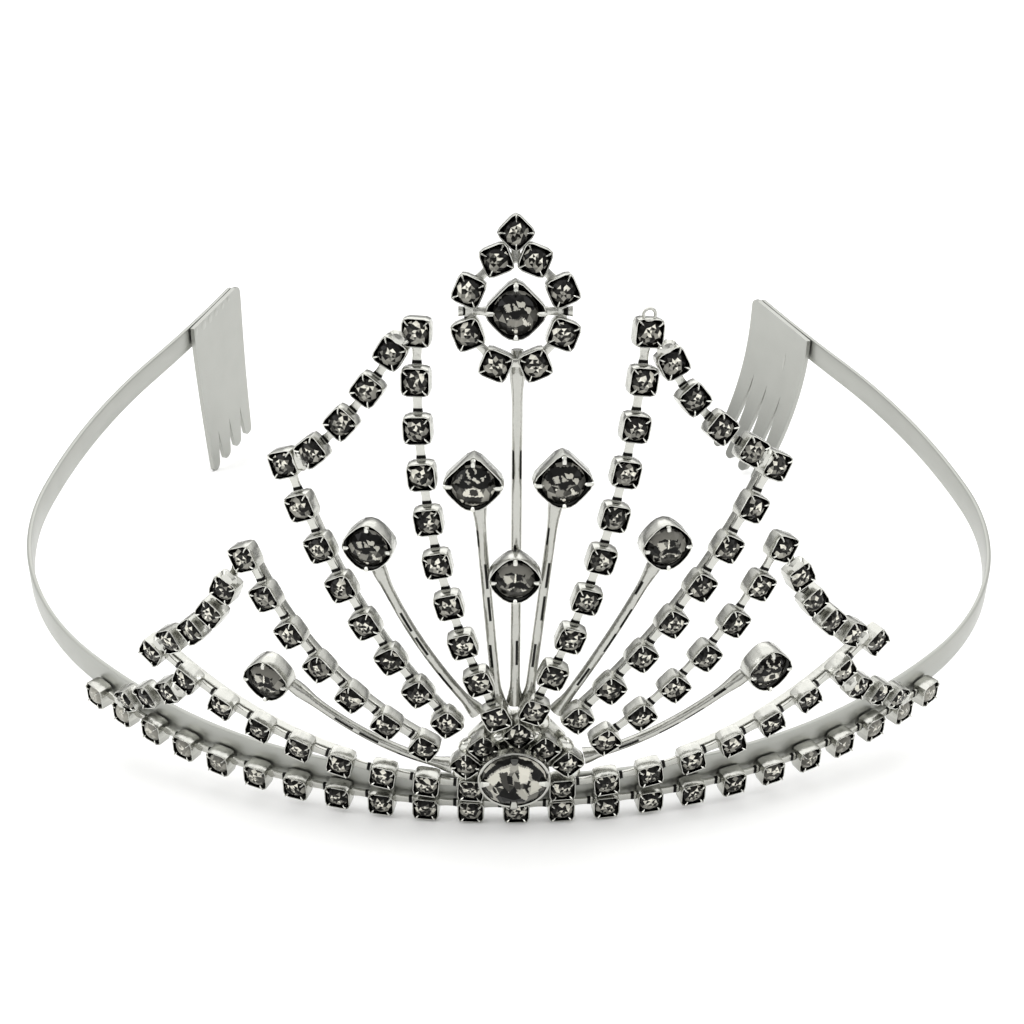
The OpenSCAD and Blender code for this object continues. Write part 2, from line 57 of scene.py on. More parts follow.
# The strip's lower edge, its widths at the front and the rear, and its thickness
LIFT, WIDE_FRONT, WIDE_REAR, SHEET = -0.5, 4.8, 4.3, 0.8
# The crest's lean in degrees at the front, how much less it is at CREST_HALF along the
# band, and its curl in degrees a mm of height
LEAN_FRONT, LEAN_SIDE, CREST_HALF, CREST_CURL = -2.4, 8.9, 68.6, 0.284
# At rest: tilt forward in degrees, then the move in mm
TILT, SHIFT = 11.739, (-0.5, -69.9, 1.7744)

# Chains: tip s, tip h, via s, via h, root s, root h, stones, ribbon from, ribbon to
RIBS = {
    "rib_1_left": (-13.3, 67.3, -13.5, 40, -2.7, 16, 10, -1, -1),
    "rib_1_right": (16.5, 67, 13, 41, 2.1, 17, 10, -1, -1),
    "rib_2_left": (-29.7, 49.8, -22.3, 30.5, -9, 14.8, 8, 1, 7),
    "rib_2_right": (32.8, 48.8, 22.4, 30.4, 7.7, 15.4, 8, 0, 7),
    "rib_3_left": (-35.1, 36, -27.4, 19.8, -12, 10.6, 7, 0, 6),
    "rib_3_right": (34, 37.3, 25.7, 21.7, 11.4, 11.5, 7, -1, -1),
    "rib_4_left": (-50.4, 16.5, -30, 4.8, -6, 3.8, 9, 0, 5),
    "rib_4_right": (50, 18, 30.5, 4.3, 6, 3.8, 9, 0, 5),
}
# Scallops: the first seven columns as above, then link stubs at the start and end
SCALLOPS = {
    "scallop_upper_left": (-16.5, 64.7, -21, 56.6, -26.2, 51.8, 4, 0, 0),
    "scallop_upper_right": (19.5, 63.2, 22.3, 56.6, 29.7, 51.2, 4, 0.6, 0),
    "scallop_middle_left": (-38, 30.8, -41, 23.6, -47, 19.8, 4, 1.8, 0.5),
    "scallop_middle_right": (36.7, 32.6, 40, 25, 45.7, 21, 4, 1.2, 1),
    "scallop_lower_left": (-48.7, 10.2, -53.2, 7.1, -57.9, 3.8, 3, 0.5, 0),
    "scallop_lower_right": (48.5, 10.6, 52.8, 7.4, 57.4, 4.1, 3, 0.7, 0),
}
# Stems: the wire's curve, then cup s, cup h, round cup or not
STEMS = {
    "stem_inner_left": (-5.4, 48, -3.9, 32, -2.6, 16.73, -5.8, 48.8, 0),
    "stem_inner_right": (5.1, 48.2, 3, 32.5, 1.5, 16.73, 5.5, 49.1, 0),
    "stem_mid_left": (-19, 38.2, -14.6, 26.5, -5.3, 15.12, -18.9, 39.9, 1),
    "stem_mid_right": (18.9, 38.4, 14, 29, 5.3, 15.12, 18.6, 39.8, 1),
    "stem_low_left": (-31.5, 17, -19, 7.4, -8.6, 5.7, -32.8, 17.9, 1),
    "stem_low_right": (32.5, 18, 20, 9.2, 9.1, 7.1, 33.3, 18.8, 1),
}
# Depth of the wires and points round them; the middle stem's s, root and cup
WIRE_N, WIRE_POINTS = -3.05, 12
MIDDLE_S, MIDDLE_ROOT, MIDDLE_CUP = -0.3, 16.73, (-0.5, 36.7)
# Painted dark reflections of the dark side of the room on a wire: first ring, last ring, side
DARK_REFLECTIONS = ((9, 12, 2), (13, 16, 2), (19, 22, 3), (5, 7, 4))
MIDDLE_DARK_REFLECTIONS = ((10, 13, 1), (10, 13, 4), (20, 22, 3), (31, 34, 2))
# Cups: power of the rounded square, width of a claw; a big one has its side, depth and
# stone first, and how much rounder its corner at the wire is last
SMALL_CUP = (5.5, 0.11)
SQUARE_CUP, ROUND_CUP = (6.0, 3.0, 5.3, 5.5, 0.26, 3.0), (5.8, 3.0, 4.9, 2.9, 0.26, 0.5)
# A link's width and thickness, its middle above the cups' backs, and how far it reaches
# into both its cups together
LINK_W, LINK_T, LINK_UP, LINK_IN = 1.4, 0.5, 0.55, 0.4
# Loop on one rib's tip: radii of wire and loop, then its place from the tip's cup
LOOP_RIB, LOOP, LOOP_AT = "rib_1_right", (0.19, 0.72), (0.1, 2.15, -0.6)
# Solder bead at a scallop's end: half its section, way from the cup, depth
BEAD = ((0.01, -0.7), (0.6, -0.5), (0.85, 0.0), (0.55, 0.42), (0.01, 0.5))
BEAD_OFF, BEAD_N = 0.35, -0.55
# Small cups over the centre stone: s, h
CLUSTER = ((-6.6, 8), (-4.3, 11), (0.2, 13.2), (3.6, 10.8), (6.6, 8.2))
# Outline of the centre's back plate, its frame's height, and its rings: size, depth
PLATE = ((-7, 5), (7, 5), (8.4, 8), (7.6, 11.5), (5, 14.6), (3, 16.2),
         (-3, 16.2), (-5, 14.6), (-7.6, 11.5), (-8.4, 8))
PLATE_H = 11
PLATE_RINGS = ((0.78, -3.4), (0.82, -3.25), (0.82, -2.65), (0.76, -2.5))
# Solder between the cups over the centre stone: s, h, direction in degrees
SOLDER = ((-6.6, 10.8, 50), (-2.4, 12.2, 30), (2.2, 12.6, -30), (6.4, 10.8, -50),
          (-3.2, 14.6, 80), (3.4, 14.8, 100), (-0.2, 11.2, 0), (-7.2, 6, 20), (7.2, 6, -20))
# Combs: width at the band and the tips, slit, gap to the strip, teeth; radii of tips and
# upper corner, and how far faces lie inside the solid; then each one's side, end of its
# half, bow, drop, length of slits and weld marks (x, z, half width, half height)
COMB_W, COMB_TIP_W, SLIT_W, GAP, TEETH = 19.6, 17, 2.4, 0.12, 4
TIP_R, CORNER_R, SKIN = 0.9, 1.8, 0.02
COMBS = {
    "comb_right": (1, HALF_RIGHT, 60.0, 26.3021, 16, ((-3.4, -3.9, 0.3, 1.9),)),
    "comb_left": (-1, HALF_LEFT, 600.0, 28.0, 7,
                  ((-9.0, 2.9, 0.6, 0.8), (-5.9, 2.7, 0.9, 0.9), (-3.3, 2.7, 0.8, 0.8),
                   (-0.8, 2.8, 0.7, 0.7), (2.1, 2.8, 0.6, 0.6), (4.6, 3.0, 0.5, 0.5))),
}
# Crest ring: middle, radius, cups, top cup's height over the middle, start of an arm
RING_S, RING_H, RING_R, RING_CUPS, TOP_CUP, ARM_IN = -0.6, 69.8, 6.6, 8, 9.2, 3
# Centre stone's setting: middle, how far it stands out, each claw's direction and tone; the tones
# are painted shade, darkest on the upper claw
CENTRE_S, CENTRE_H, CENTRE_OUT = -0.4, 7.4, 1.4
CENTRE_CLAWS = ((0, 0.9), (90, 0.12), (180, 0.9), (270, 0.7))
# The sky, dark at the horizon: place on the ramp, level
SKY = ((0.0, 0.25), (0.16, 0.25), (0.3, 0.6), (0.55, 0.95))
# Lights: name, place and size in m, power in W
LIGHTS = (("top", (0.0, 0.05, 0.9), 1.1, 2.4), ("left", (-0.8, -0.3, 0.5), 0.5, 1.6),
          ("right", (0.8, -0.2, 0.5), 0.5, 1.3), ("far", (0.0, 1.3, 0.9), 1.2, 4.0))
# The photo's camera: place in mm, way it looks, up, focal length in mm
EYE, AHEAD, UPWARD, FOCAL = ((-7.02, -277.02, 129.17), (0.0258, 0.9254, -0.3781),
                             (0.006, 0.378, 0.9258), 64.4)


def size_prop(name, about, size, least=1.0):
    """A length, given in mm."""
    return bpy.props.FloatProperty(name=name, description=about, default=size * MM,
                                   min=least * MM, unit="LENGTH", subtype="DISTANCE")


def hex_prop(name, about, code):
    """A colour, as sRGB hex."""
    return bpy.props.StringProperty(name=name, description=about + ", sRGB hex", default=code)


class TiaraSizes(bpy.types.PropertyGroup):
    """Sizes that a user would change"""
    pitch: size_prop("Pitch", "Distance between the stones of the band", 6)
    stone: size_prop("Small stone", "Diameter of a small stone", 2.9)
    cup: size_prop("Small cup", "Side of a small cup", 3.5)
    depth: size_prop("Cup depth", "Depth of a small cup below its stone's face", 2.3)
    wire: size_prop("Stem wire", "Thickness of the stems' wire", 1.3, 0.2)
    centre: size_prop("Centre stone", "Diameter of the big stone on the band", 8.5)


class TiaraColours(bpy.types.PropertyGroup):
    """Colours that a user would change"""
    plate: hex_prop("Plate", "Colour of the bright silver plate", "#C3C3BD")
    satin: hex_prop("Satin", "Colour of the satin band and combs", "#A8A9A4")
    floor: hex_prop("Floor", "Colour of the floor", "#FFFFFF")


def linear(code):
    """sRGB hex to a linear colour with alpha 1."""
    c = np.array([int(code[i:i + 2], 16) / 255 for i in (1, 3, 5)])
    c = np.where(c <= 0.04045, c / 12.92, ((c + 0.055) / 1.055) ** 2.4)
    return (*c.tolist(), 1.0)


def sizes():
    """The sizes in mm."""
    p = bpy.context.scene.tiara_sizes
    return {k: getattr(p, k) / MM for k in TiaraSizes.__annotations__}


# The band's line.
def arc_rows(arcs):
    """Where each arc starts: s, x, y, heading and curvature, arcs being tangent."""
    rows, s, x, y, h = [], 0.0, 0.0, 0.0, 0.0
    for length, turn in arcs:
        k = math.radians(turn) / length
        rows.append((s, x, y, h, k))
        h1 = h + k * length
        x += (math.sin(h1) - math.sin(h)) / k if k else length * math.cos(h)
        y += (math.cos(h) - math.cos(h1)) / k if k else length * math.sin(h)
        s, h = s + length, h1
    return np.array(rows)


ROWS = ((arc_rows(ARCS_RIGHT), 1), (arc_rows(ARCS_LEFT), -1))


def front_line(s):
    """x, y and heading at s: on an arc of curvature k, x = x0 + (sin h - sin h0) / k."""
    s = np.atleast_1d(np.asarray(s, float))
    out = np.empty((len(s), 3))
    for rows, sign in ROWS:
        on = s >= 0 if sign > 0 else s < 0
        t = np.abs(s[on])
        s0, x, y, h, k = rows[np.searchsorted(rows[:, 0], t, "right") - 1].T
        h1, straight = h + k * (t - s0), k == 0
        k = np.where(straight, 1, k)
        px = np.where(straight, x + (t - s0) * np.cos(h), x + (np.sin(h1) - np.sin(h)) / k)
        py = np.where(straight, y + (t - s0) * np.sin(h), y + (np.cos(h) - np.cos(h1)) / k)
        out[on] = np.stack([sign * px, py, sign * h1], 1)
    return out


def leaning(s, t, run, rise, n, turn):
    """Frames at s, moved back by run and up by rise: x along the band, y up a slope that
    leans back by t, z out of it. They move n along z and turn about it; axes are rows."""
    px, py, h = front_line(s).T
    c, w, zero = np.cos(h), np.sin(h), np.zeros_like(h)
    origin = np.stack([px - run * w, py + run * c, zero + rise], 1)
    x = np.stack([c, w, zero], 1)
    y = np.stack([-np.sin(t) * w, np.sin(t) * c, zero + np.cos(t)], 1)
    z = np.stack([np.cos(t) * w, -np.cos(t) * c, zero + np.sin(t)], 1)
    a = np.radians(np.broadcast_to(turn, len(h)))[:, None]
    axes = np.stack([np.cos(a) * x + np.sin(a) * y, np.cos(a) * y - np.sin(a) * x, z], 1)
    return origin + np.broadcast_to(n, len(h))[:, None] * z, axes


def on_crest(s, h, n=0.0, turn=0.0):
    """Frames on the crest: it leans by lean(s) at the band and curls back evenly with
    height, so a point has run = (cos lean - cos slope) / curl, rise likewise in sines."""
    s, h = np.broadcast_arrays(np.atleast_1d(np.asarray(s, float)), np.asarray(h, float))
    a = np.radians(LEAN_FRONT - LEAN_SIDE * (s / CREST_HALF) ** 2)
    curl = math.radians(CREST_CURL)
    t = a + curl * h
    return leaning(s, t, (np.cos(a) - np.cos(t)) / curl, (np.sin(t) - np.sin(a)) / curl, n, turn)


def on_band(s, up, n=0.0, turn=0.0):
    """Upright frames on the band's front line, at height up."""
    return leaning(s, 0.0, 0.0, up, n, turn)


def at_rest(points):
    """The band's frame in mm to the row frame in metres: tipped forward and moved."""
    t = math.radians(TILT)
    m = np.array([[1, 0, 0], [0, math.cos(t), -math.sin(t)], [0, math.sin(t), math.cos(t)]])
    return (points @ m.T + np.array(SHIFT)) * MM


# Curves on the crest.
def bend(row, t):
    """A curve from the tip past the via point to the root, quadratic in t."""
    t = np.asarray(t, float)[:, None]
    a, b, c = (np.array(row[i:i + 2]) for i in (0, 2, 4))
    return (1 - t) ** 2 * a + 2 * t * (1 - t) * b + t * t * c


def along(row, u):
    """Points at the parts u of the curve's length."""
    t = np.linspace(0, 1, 41)
    length = np.concatenate([[0], np.cumsum(np.linalg.norm(np.diff(bend(row, t), axis=0), axis=1))])
    return bend(row, np.interp(np.asarray(u) * length[-1], length, t)), length[-1]


def heading(row, u):
    """Direction of the curve at u, in degrees, from points 2% to each side."""
    a, b = along(row, np.maximum(0, u - 0.02))[0], along(row, np.minimum(1, u + 0.02))[0]
    return np.degrees(np.arctan2(b[:, 1] - a[:, 1], b[:, 0] - a[:, 0]))


# Shapes.
# A shape is (points, loops, face sizes, face tones); tone 0 is black, 1 the full colour; tones also
# carry painted light and shade.
def angles(count):
    """Even angles round a circle."""
    return np.linspace(0, 2 * np.pi, count, endpoint=False)


def starts(counts):
    """Where each face's loops start."""
    return np.concatenate([[0], np.cumsum(counts)[:-1]])


def quads(rings, around):
    """Faces of a grid of closed rings, each with its points around it."""
    r, a = np.meshgrid(np.arange(rings - 1), np.arange(around), indexing="ij")
    b = (a + 1) % around
    return np.stack([r * around + a, r * around + b, (r + 1) * around + b,
                     (r + 1) * around + a], -1).reshape(-1, 4)


def shape(points, faces, caps=(), tones=1.0, ends=None):
    """Points, equal faces and a few caps of any size, with one tone a face."""
    counts = np.array([faces.shape[1]] * len(faces) + [len(c) for c in caps])
    tone = np.broadcast_to(tones, len(faces))
    ends = np.full(len(caps), np.mean(tone)) if ends is None else ends
    return points, np.concatenate([faces.ravel(), *caps]), counts, np.concatenate([tone, ends])


def loft(rings, tones=1.0, ends=None):
    """A wall through rings of points, closed by a cap at each end."""
    n, k = np.shape(rings)[:2]
    caps = np.arange(k)[::-1], np.arange(k) + k * (n - 1)
    return shape(np.reshape(rings, (-1, 3)), quads(n, k), caps, tones, ends)


def join(*parts):
    """Several shapes as one."""
    points, loops, counts, tones = zip(*parts)
    first = np.cumsum([0] + [len(p) for p in points[:-1]])
    return (np.concatenate(points), np.concatenate([c + k for c, k in zip(loops, first)]),
            np.concatenate(counts), np.concatenate(tones))


def stamp(part, places, tones=1.0):
    """A copy of the shape in each frame: point = origin + x X + y Y + z Z."""
    origin, axes = places
    n, points = len(origin), part[0]
    out = origin[:, None] + np.einsum("vk,nkj->nvj", points, axes)
    loops = part[1][None] + (np.arange(n) * len(points))[:, None]
    tone = np.tile(part[3], (n, 1)) * tones
    return out.reshape(-1, 3), loops.ravel(), np.tile(part[2], n), tone.ravel()


def tube(places, outline, tones=1.0):
    """An outline (y, z) carried through frames and closed at both ends."""
    origin, axes = places
    outline = np.broadcast_to(outline, (len(origin),) + np.shape(outline)[-2:])
    p = origin[:, None] + outline[..., :1] * axes[:, 1, None] + outline[..., 1:] * axes[:, 2, None]
    return loft(p, np.repeat(tones, p.shape[1]) if np.ndim(tones) else tones)


def revolved(profile, around=40, tones=1.0):
    """A closed profile (r, z) turned about the z axis."""
    a = angles(around)
    r, z = np.asarray(profile, float).T[..., None]
    p = np.stack([r * np.cos(a), r * np.sin(a), z + 0 * a], -1)
    i, j = np.arange(around), (np.arange(around) + 1) % around
    last = (len(p) - 1) * around
    seam = np.stack([i + last, j + last, j, i], 1)
    return shape(p.reshape(-1, 3), np.concatenate([quads(len(p), around), seam]), (), tones)


def rounded(w, h, r, y=0.0):
    """A rectangle w by h about (y, 0) with corners of radius r."""
    per = 3
    a = np.radians(np.concatenate([np.linspace(0, 90, per) + q for q in (0, 90, 180, 270)]))
    sy = np.repeat([1, -1, -1, 1], per) * (w / 2 - r)
    sz = np.repeat([1, 1, -1, -1], per) * (h / 2 - r)
    return np.stack([y + sy + r * np.cos(a), sz + r * np.sin(a)], 1)


def circle(r, around=WIRE_POINTS, y=0.0):
    """A circle's points."""
    a = angles(around)
    return np.stack([y + r * np.cos(a), r * np.sin(a)], 1)


def corner_cut(way, r, least=0.0):
    """How far a round corner of radius r draws in at `way` from the edge's end:
    r - sqrt(r^2 - (r - way)^2), the root at least sqrt(least) r."""
    return r * (1 - np.sqrt(np.clip(1 - (1 - np.clip(way / r, 0, 1)) ** 2, least, 1)))


def corner_way(side, square):
    """How far out the corner of a rounded square lies."""
    return side / 2 / (2 * math.cos(math.pi / 4) ** square) ** (1 / square)


def cup_shape(side, depth, stone, square, droop=0.0):
    """A drawn cup: a rounded square of power `square` swept through a wall profile. The
    wall inside the thin rim, which shows beside the round stone, and the floor inside are dark
    with painted shade, and the bottom outside is half dark with painted shade; the thin rim is a
    little lighter, a painted highlight. Droop makes the corner at 225 degrees rounder, where a big
    cup's wire is soldered on."""
    a = angles(24)
    power = square - droop * (0.5 - 0.5 * np.cos(a - math.pi / 4)) ** 1.5
    r = side / 2 / (np.abs(np.cos(a)) ** power + np.abs(np.sin(a)) ** power) ** (1 / power)
    top = -0.06 * stone
    ring = lambda k, z: np.stack([k * r * np.cos(a), k * r * np.sin(a), z + 0 * a], 1)
    wall = lambda w, z: ring(1 - w / r, z)
    rings = [ring(0.82, -depth), ring(0.95, -depth + 0.06), ring(1, -depth + 0.3),
             ring(1, top - 0.1), wall(0.05, top), wall(0.15, top - 0.02),
             wall(0.19, top - 0.5), ring(0.4, -depth * 0.75)]
    outside, rim, inside_wall = 3, 2, 2
    # painted light: rim 1.05 as a highlight, inside wall 0.06 and inner floor 0.05 as shade,
    # outside bottom 0.5 as shade
    tones = np.repeat([1.0, 1.05, 0.06], (outside, rim, inside_wall))
    return loft(rings, np.repeat(tones, len(a)), (0.5, 0.05))


def claw_shape(side, stone, square, out, width, corner=45.0, tone=1.0, over=0.2):
    """A claw: a flattened round section carried up a cup's corner and `over` the stone,
    with a bright tip that is a painted highlight."""
    r, s = corner_way(side, square), stone / 2
    path = np.array([[r - 0.3, -0.6], [r - 0.26, -0.14], [(r + s) / 2, out - 0.12],
                     [s, out - 0.1], [s - over, out - 0.24]])
    wide = width * np.array([1.1, 1.1, 1, 0.9, 0.5])
    thick = np.array([0.14, 0.15, 0.12, 0.1, 0.04])
    d = np.gradient(path, axis=0)
    d /= np.linalg.norm(d, axis=1)[:, None]
    a = angles(6)
    x = path[:, :1] - d[:, 1:] * thick[:, None] * np.sin(a)
    z = path[:, 1:] + d[:, :1] * thick[:, None] * np.sin(a)
    y = wide[:, None] * np.cos(a)
    t = math.radians(corner)
    p = np.stack([x * math.cos(t) - y * math.sin(t), x * math.sin(t) + y * math.cos(t), z], -1)
    # painted highlight: the upper segments lighter and the tip brightest
    return loft(p, np.repeat(tone * np.array([1, 1, 1.15, 1.5]), len(a)))


def whole_cup(side, depth, stone, square, claw, droop=0.0):
    """A cup and its four claws, `claw` wide."""
    return join(cup_shape(side, depth, stone, square, droop),
                *(claw_shape(side, stone, square - (droop if c == 225 else 0), 0.24, claw, c)
                  for c in (45, 135, 225, 315)))


def link_shape(length, width=LINK_W, thick=LINK_T):
    """A waisted link: narrower in its middle, with a band of painted shade across it where it
    leaves the cup on its root side, for the shadow in the gap there."""
    x = np.array([-0.5, -0.36, -0.2, 0, 0.18, 0.2, 0.34, 0.36, 0.5])
    origin = np.stack([x * length, 0 * x, 0 * x], 1)
    axes = np.tile(np.eye(3), (len(x), 1, 1))
    outline = np.stack([rounded(k, thick, 0.12) for k in width * (0.72 + 1.1 * x ** 2)])
    # painted shade: the dark band where the link enters its cup
    return tube((origin, axes), outline, np.array([1, 1, 1, 1, 0.5, 0.015, 0.5, 1.0]))


def stone_shape(d, crown, pavilion):
    """A brilliant cut: table, stars, kites, halves, girdle and pavilion, the table split
    as the pavilion shows through it. Returns the shape and each face's kind and angle."""
    r = d / 2
    e = np.radians(np.arange(8) * 45.0)
    o = e + math.radians(22.5)
    g = np.stack([e, o], 1).ravel()
    ring = lambda k, a, z: np.stack([k * r * np.cos(a), k * r * np.sin(a), 0 * a + z], 1)
    pts = np.concatenate([[[0, 0, 0]], ring(0.3, o, 0), ring(0.58, e, 0),
                          ring(0.82, o, -crown * 0.5), ring(1, g, -crown),
                          ring(1, g, -crown - 0.1), [[0, 0, -crown - pavilion]]])
    # first point of each ring: table, stars, kites, upper and lower girdle, foot
    A, T, M, G, H, P = 1, 9, 17, 25, 41, 57
    i, k = np.arange(8), np.arange(16)
    j, l, n = (i + 1) % 8, (k + 1) % 16, (2 * i + 2) % 16
    tri = ((0 * i, A + i, A + j), (A + i, T + j, A + j), (A + i, T + i, T + j),
           (T + i, M + i, T + j), (M + i, G + 2 * i, G + 2 * i + 1),
           (M + i, G + 2 * i + 1, G + n), (0 * k + P, H + l, H + k))
    quad = ((T + j, M + i, G + n, M + j), (G + k, H + k, H + l, G + l))
    tri, quad = (np.concatenate([np.stack(f, 1) for f in part]) for part in (tri, quad))
    loops = np.concatenate([tri.ravel(), quad.ravel()])
    counts = np.repeat([3, 4], [len(tri), len(quad)])
    kind = np.repeat([0, 1, 2, 3, 4, 5, 8, 6, 7], [8] * 6 + [16, 8, 16])
    ang = np.concatenate([o + 0.39, e + 0.785, o, o, o - 0.2, o + 0.2, g, e + 0.785, g])
    return (pts, loops, counts, np.ones(len(counts))), kind, ang


def stone_tones(kind, ang, turn, seed):
    """Tones that the foil behind a cut stone throws back, painted by each facet's way up in the
    crest: a black crescent of painted shade under the upper rim, painted sparks of light below
    it, dark and grey facets at random in the middle and a painted grey reflection towards the
    lower rim."""
    rng = np.random.default_rng(seed)
    shade = (len(turn), len(kind))
    up = np.sin(ang[None] + np.radians(turn)[:, None])
    pick, level = rng.random(shade), rng.random(shade)
    outer, inner = np.isin(kind, (4, 5, 6, 7)), np.isin(kind, (0, 1))
    black, dark, grey = 0.002 + 0.01 * level, 0.015 + 0.05 * level, 0.14 + 0.26 * level
    light = 0.6 + 0.4 * level
    t = np.where(pick < 0.33, black, np.where(pick < 0.58, dark, np.where(pick < 0.9, grey, light)))
    # painted light: upper outer facets black as shade, upper inner facets light as sparks, lower
    # facets grey as reflections
    t = np.where(outer & (up > 0.25) & (pick < 0.85), black, t)
    t = np.where(~outer & (up > 0.15) & (pick > 0.68), light, t)
    t = np.where(~outer & ~inner & (up < -0.3) & (pick > 0.4), grey, t)
    return np.where(outer & (up < -0.3) & (pick > 0.5), grey, t)


def divided(part, kind, times=2):
    """The same facets, each cut into four `times` times. Returns the shape and, for each
    small face, the kind and number of its facet and its middle."""
    points, loops, counts, _ = part
    start, four = starts(counts), np.flatnonzero(counts == 4)
    tri = np.concatenate([loops[start[:, None] + (0, 1, 2)],
                          loops[start[four, None] + (0, 2, 3)]])
    facet = np.concatenate([np.arange(len(counts)), four])
    p = points[tri]
    for _ in range(times):
        m = (p + np.roll(p, -1, 1)) / 2
        p = np.concatenate([np.stack([p[:, 0], m[:, 0], m[:, 2]], 1),
                            np.stack([m[:, 0], p[:, 1], m[:, 1]], 1),
                            np.stack([m[:, 2], m[:, 1], p[:, 2]], 1), m])
        facet = np.tile(facet, 4)
    pts, faces = np.unique(np.round(p.reshape(-1, 3), 5), axis=0, return_inverse=True)
    return shape(pts, faces.reshape(-1, 3)), kind[facet], facet, p.mean(1)


def inside(x, y, ring):
    """Whether points lie in an outline: a ray from each crosses it an odd number of times."""
    odd = np.zeros(len(x), bool)
    for (ax, ay), (bx, by) in zip(ring, np.roll(ring, -1, 0)):
        if ay != by:
            odd ^= ((ay > y) != (by > y)) & (x < ax + (bx - ax) * (y - ay) / (by - ay))
    return odd


# The painted reflections that show in a big stone: tone, then an outline as x and y in hundredths
# of its radius
LENS = (
    (0.006, (-95, 10, -60, 75, 0, 95, 60, 75, 95, 10, 40, -8, 0, 6, -40, -8)),
    (0.13, (-95, 8, -60, 20, -45, 60, -70, 35)),
    (0.2, (-38, 34, -10, 26, -20, 12)),
    (0.4, (-9, 42, 7, 47, 34, 26, 24, 20)),
    (0.36, (34, 52, 56, 50, 42, 32)),
    (0.36, (-34, 78, -22, 76, -10, 42, -22, 44)),
    (0.34, (-5, 90, 20, 76, 8, 62)),
    (0.5, (-48, -30, -28, -8, 0, 0, 30, -8, 55, -42, 30, -44, -30, -44)),
    (0.06, (-13, -8, 18, -6, 27, -30, 10, -42, -14, -36)),
    (0.035, (-41, -44, 45, -44, 36, -80, -12, -88, -39, -74)),
    (0.6, (76, -22, 100, -20, 86, -42)),
    (0.5, (-64, -70, -42, -66, -45, -88)),
    (0.45, (-20, -90, 26, -86, 16, -100, -16, -100)))
STAR = (
    (0.006, (-95, 30, -50, 80, 50, 80, 95, 30, 50, 0, -50, -2)),
    (0.3, (-55, 40, -25, 42, -20, 10, -40, 6)),
    (0.28, (-16, 50, 16, 20, -10, 14)),
    (0.33, (2, 55, 42, 50, 36, 30, 12, 30)),
    (0.32, (30, 26, 66, 28, 62, -4)),
    (0.004, (-30, 6, 12, 16, 20, -14, -12, -30)),
    (0.45, (28, -14, 66, -50, 36, -56)),
    (0.16, (-30, -20, 0, -24, -10, -56, -40, -50)),
    (0.5, (-62, -28, -30, -14, -34, -22)),
    (0.03, (10, -56, 66, -52, 50, -90, 6, -95)),
    (0.02, (-60, -56, -10, -60, -10, -94, -40, -86)),
    (0.55, (-14, -72, 10, -70, 2, -95)))
MOUTH = (
    (0.11, (-90, 60, 0, 98, 90, 60, 70, 20, -70, 20)),
    (0.01, (-50, 42, -30, 56, 10, 50, 50, 42, 50, 34, -30, 44)),
    (0.36, (-60, 36, -30, 42, -10, 10, -40, -10)),
    (0.012, (-95, 12, -60, 26, -40, -10, -50, -30)),
    (0.012, (-2, 42, 30, 46, 40, 14, 2, 10)),
    (0.6, (-2, 50, 4, 50, 5, 2, -4, 2)),
    (0.005, (-42, -40, -20, -2, 10, 6, 40, 2, 85, -50, 40, -30, 0, -20)),
    (0.4, (-40, -36, 0, -20, -30, -44)),
    (0.5, (30, -34, 60, -44, 36, -50)),
    (0.01, (-70, -50, -45, -40, -40, -70, -64, -72)),
    (0.09, (-38, -50, 60, -50, 40, -86, -30, -86)))
CENTRE = (
    (0.012, (-100, -10, -86, 36, -50, 80, 0, 98, 50, 80, 86, 36, 100, -10, 90, -8, 74, 34, 42,
     66, 0, 82, -42, 66, -74, 34, -90, -8)),
    (0.45, (-88, 10, -50, 55, -12, 72, -20, 30, -62, 0)),
    (0.5, (12, 74, 46, 58, 44, 20, 16, 10)),
    (0.42, (50, 20, 78, 14, 84, -20, 50, -30)),
    (0.09, (-46, 50, -20, 55, -14, -15, -34, -5)),
    (0.08, (0, 20, 18, 16, 20, -14, 0, -10)),
    (0.005, (-22, 42, -6, 42, -4, 5, -20, 10)),
    (0.006, (-64, -6, -46, 24, -33, 2)),
    (0.012, (-68, -6, -56, -10, -50, -32, -60, -30)),
    (0.006, (30, -9, 43, 24, 50, 18, 40, -5, 48, -40)),
    (0.008, (48, 50, 70, 48, 88, -8, 54, 26)),
    (0.005, (-56, -50, -30, -4, -16, -26, 0, -2, 38, -66, -16, -94, -42, -88)),
    (0.3, (5, -24, 26, -14, 44, -50, 36, -68)),
    (0.05, (-86, -30, -70, -30, -60, -70, -76, -60)))
DRAWINGS = (LENS, STAR, STAR, MOUTH, MOUTH, LENS)


def drawn_tones(kind, facet, mid, radius, turn, seed, drawing, bright=1.0):
    """Painted reflections facet by facet: a dark, grey or light tone, and over that the outlines
    of a drawing of reflections, which lies level in the crest whatever the stone's turn. The
    girdle and foot are dark with painted shade."""
    rng = np.random.default_rng(seed)
    t = math.radians(turn)
    x = (mid[:, 0] * math.cos(t) - mid[:, 1] * math.sin(t)) / radius
    y = (mid[:, 0] * math.sin(t) + mid[:, 1] * math.cos(t)) / radius
    pick, level = (rng.random(facet.max() + 1)[facet] for _ in range(2))
    tone = np.where(pick < 0.35, 0.01 + 0.02 * level,
                    np.where(pick < 0.6, 0.05 + 0.05 * level, 0.14 + 0.2 * level)) * bright
    for level, ring in drawing:
        within = inside(x, y, np.reshape(ring, (-1, 2)) / 100)
        tone = np.where(within, level * (1.5 if level > 0.1 else 0.6), tone)
    return np.where(kind >= 7, 0.03, tone)


def add(name, data):
    """A new object in the scene."""
    thing = bpy.data.objects.new(name, data)
    bpy.context.scene.collection.objects.link(thing)
    return thing


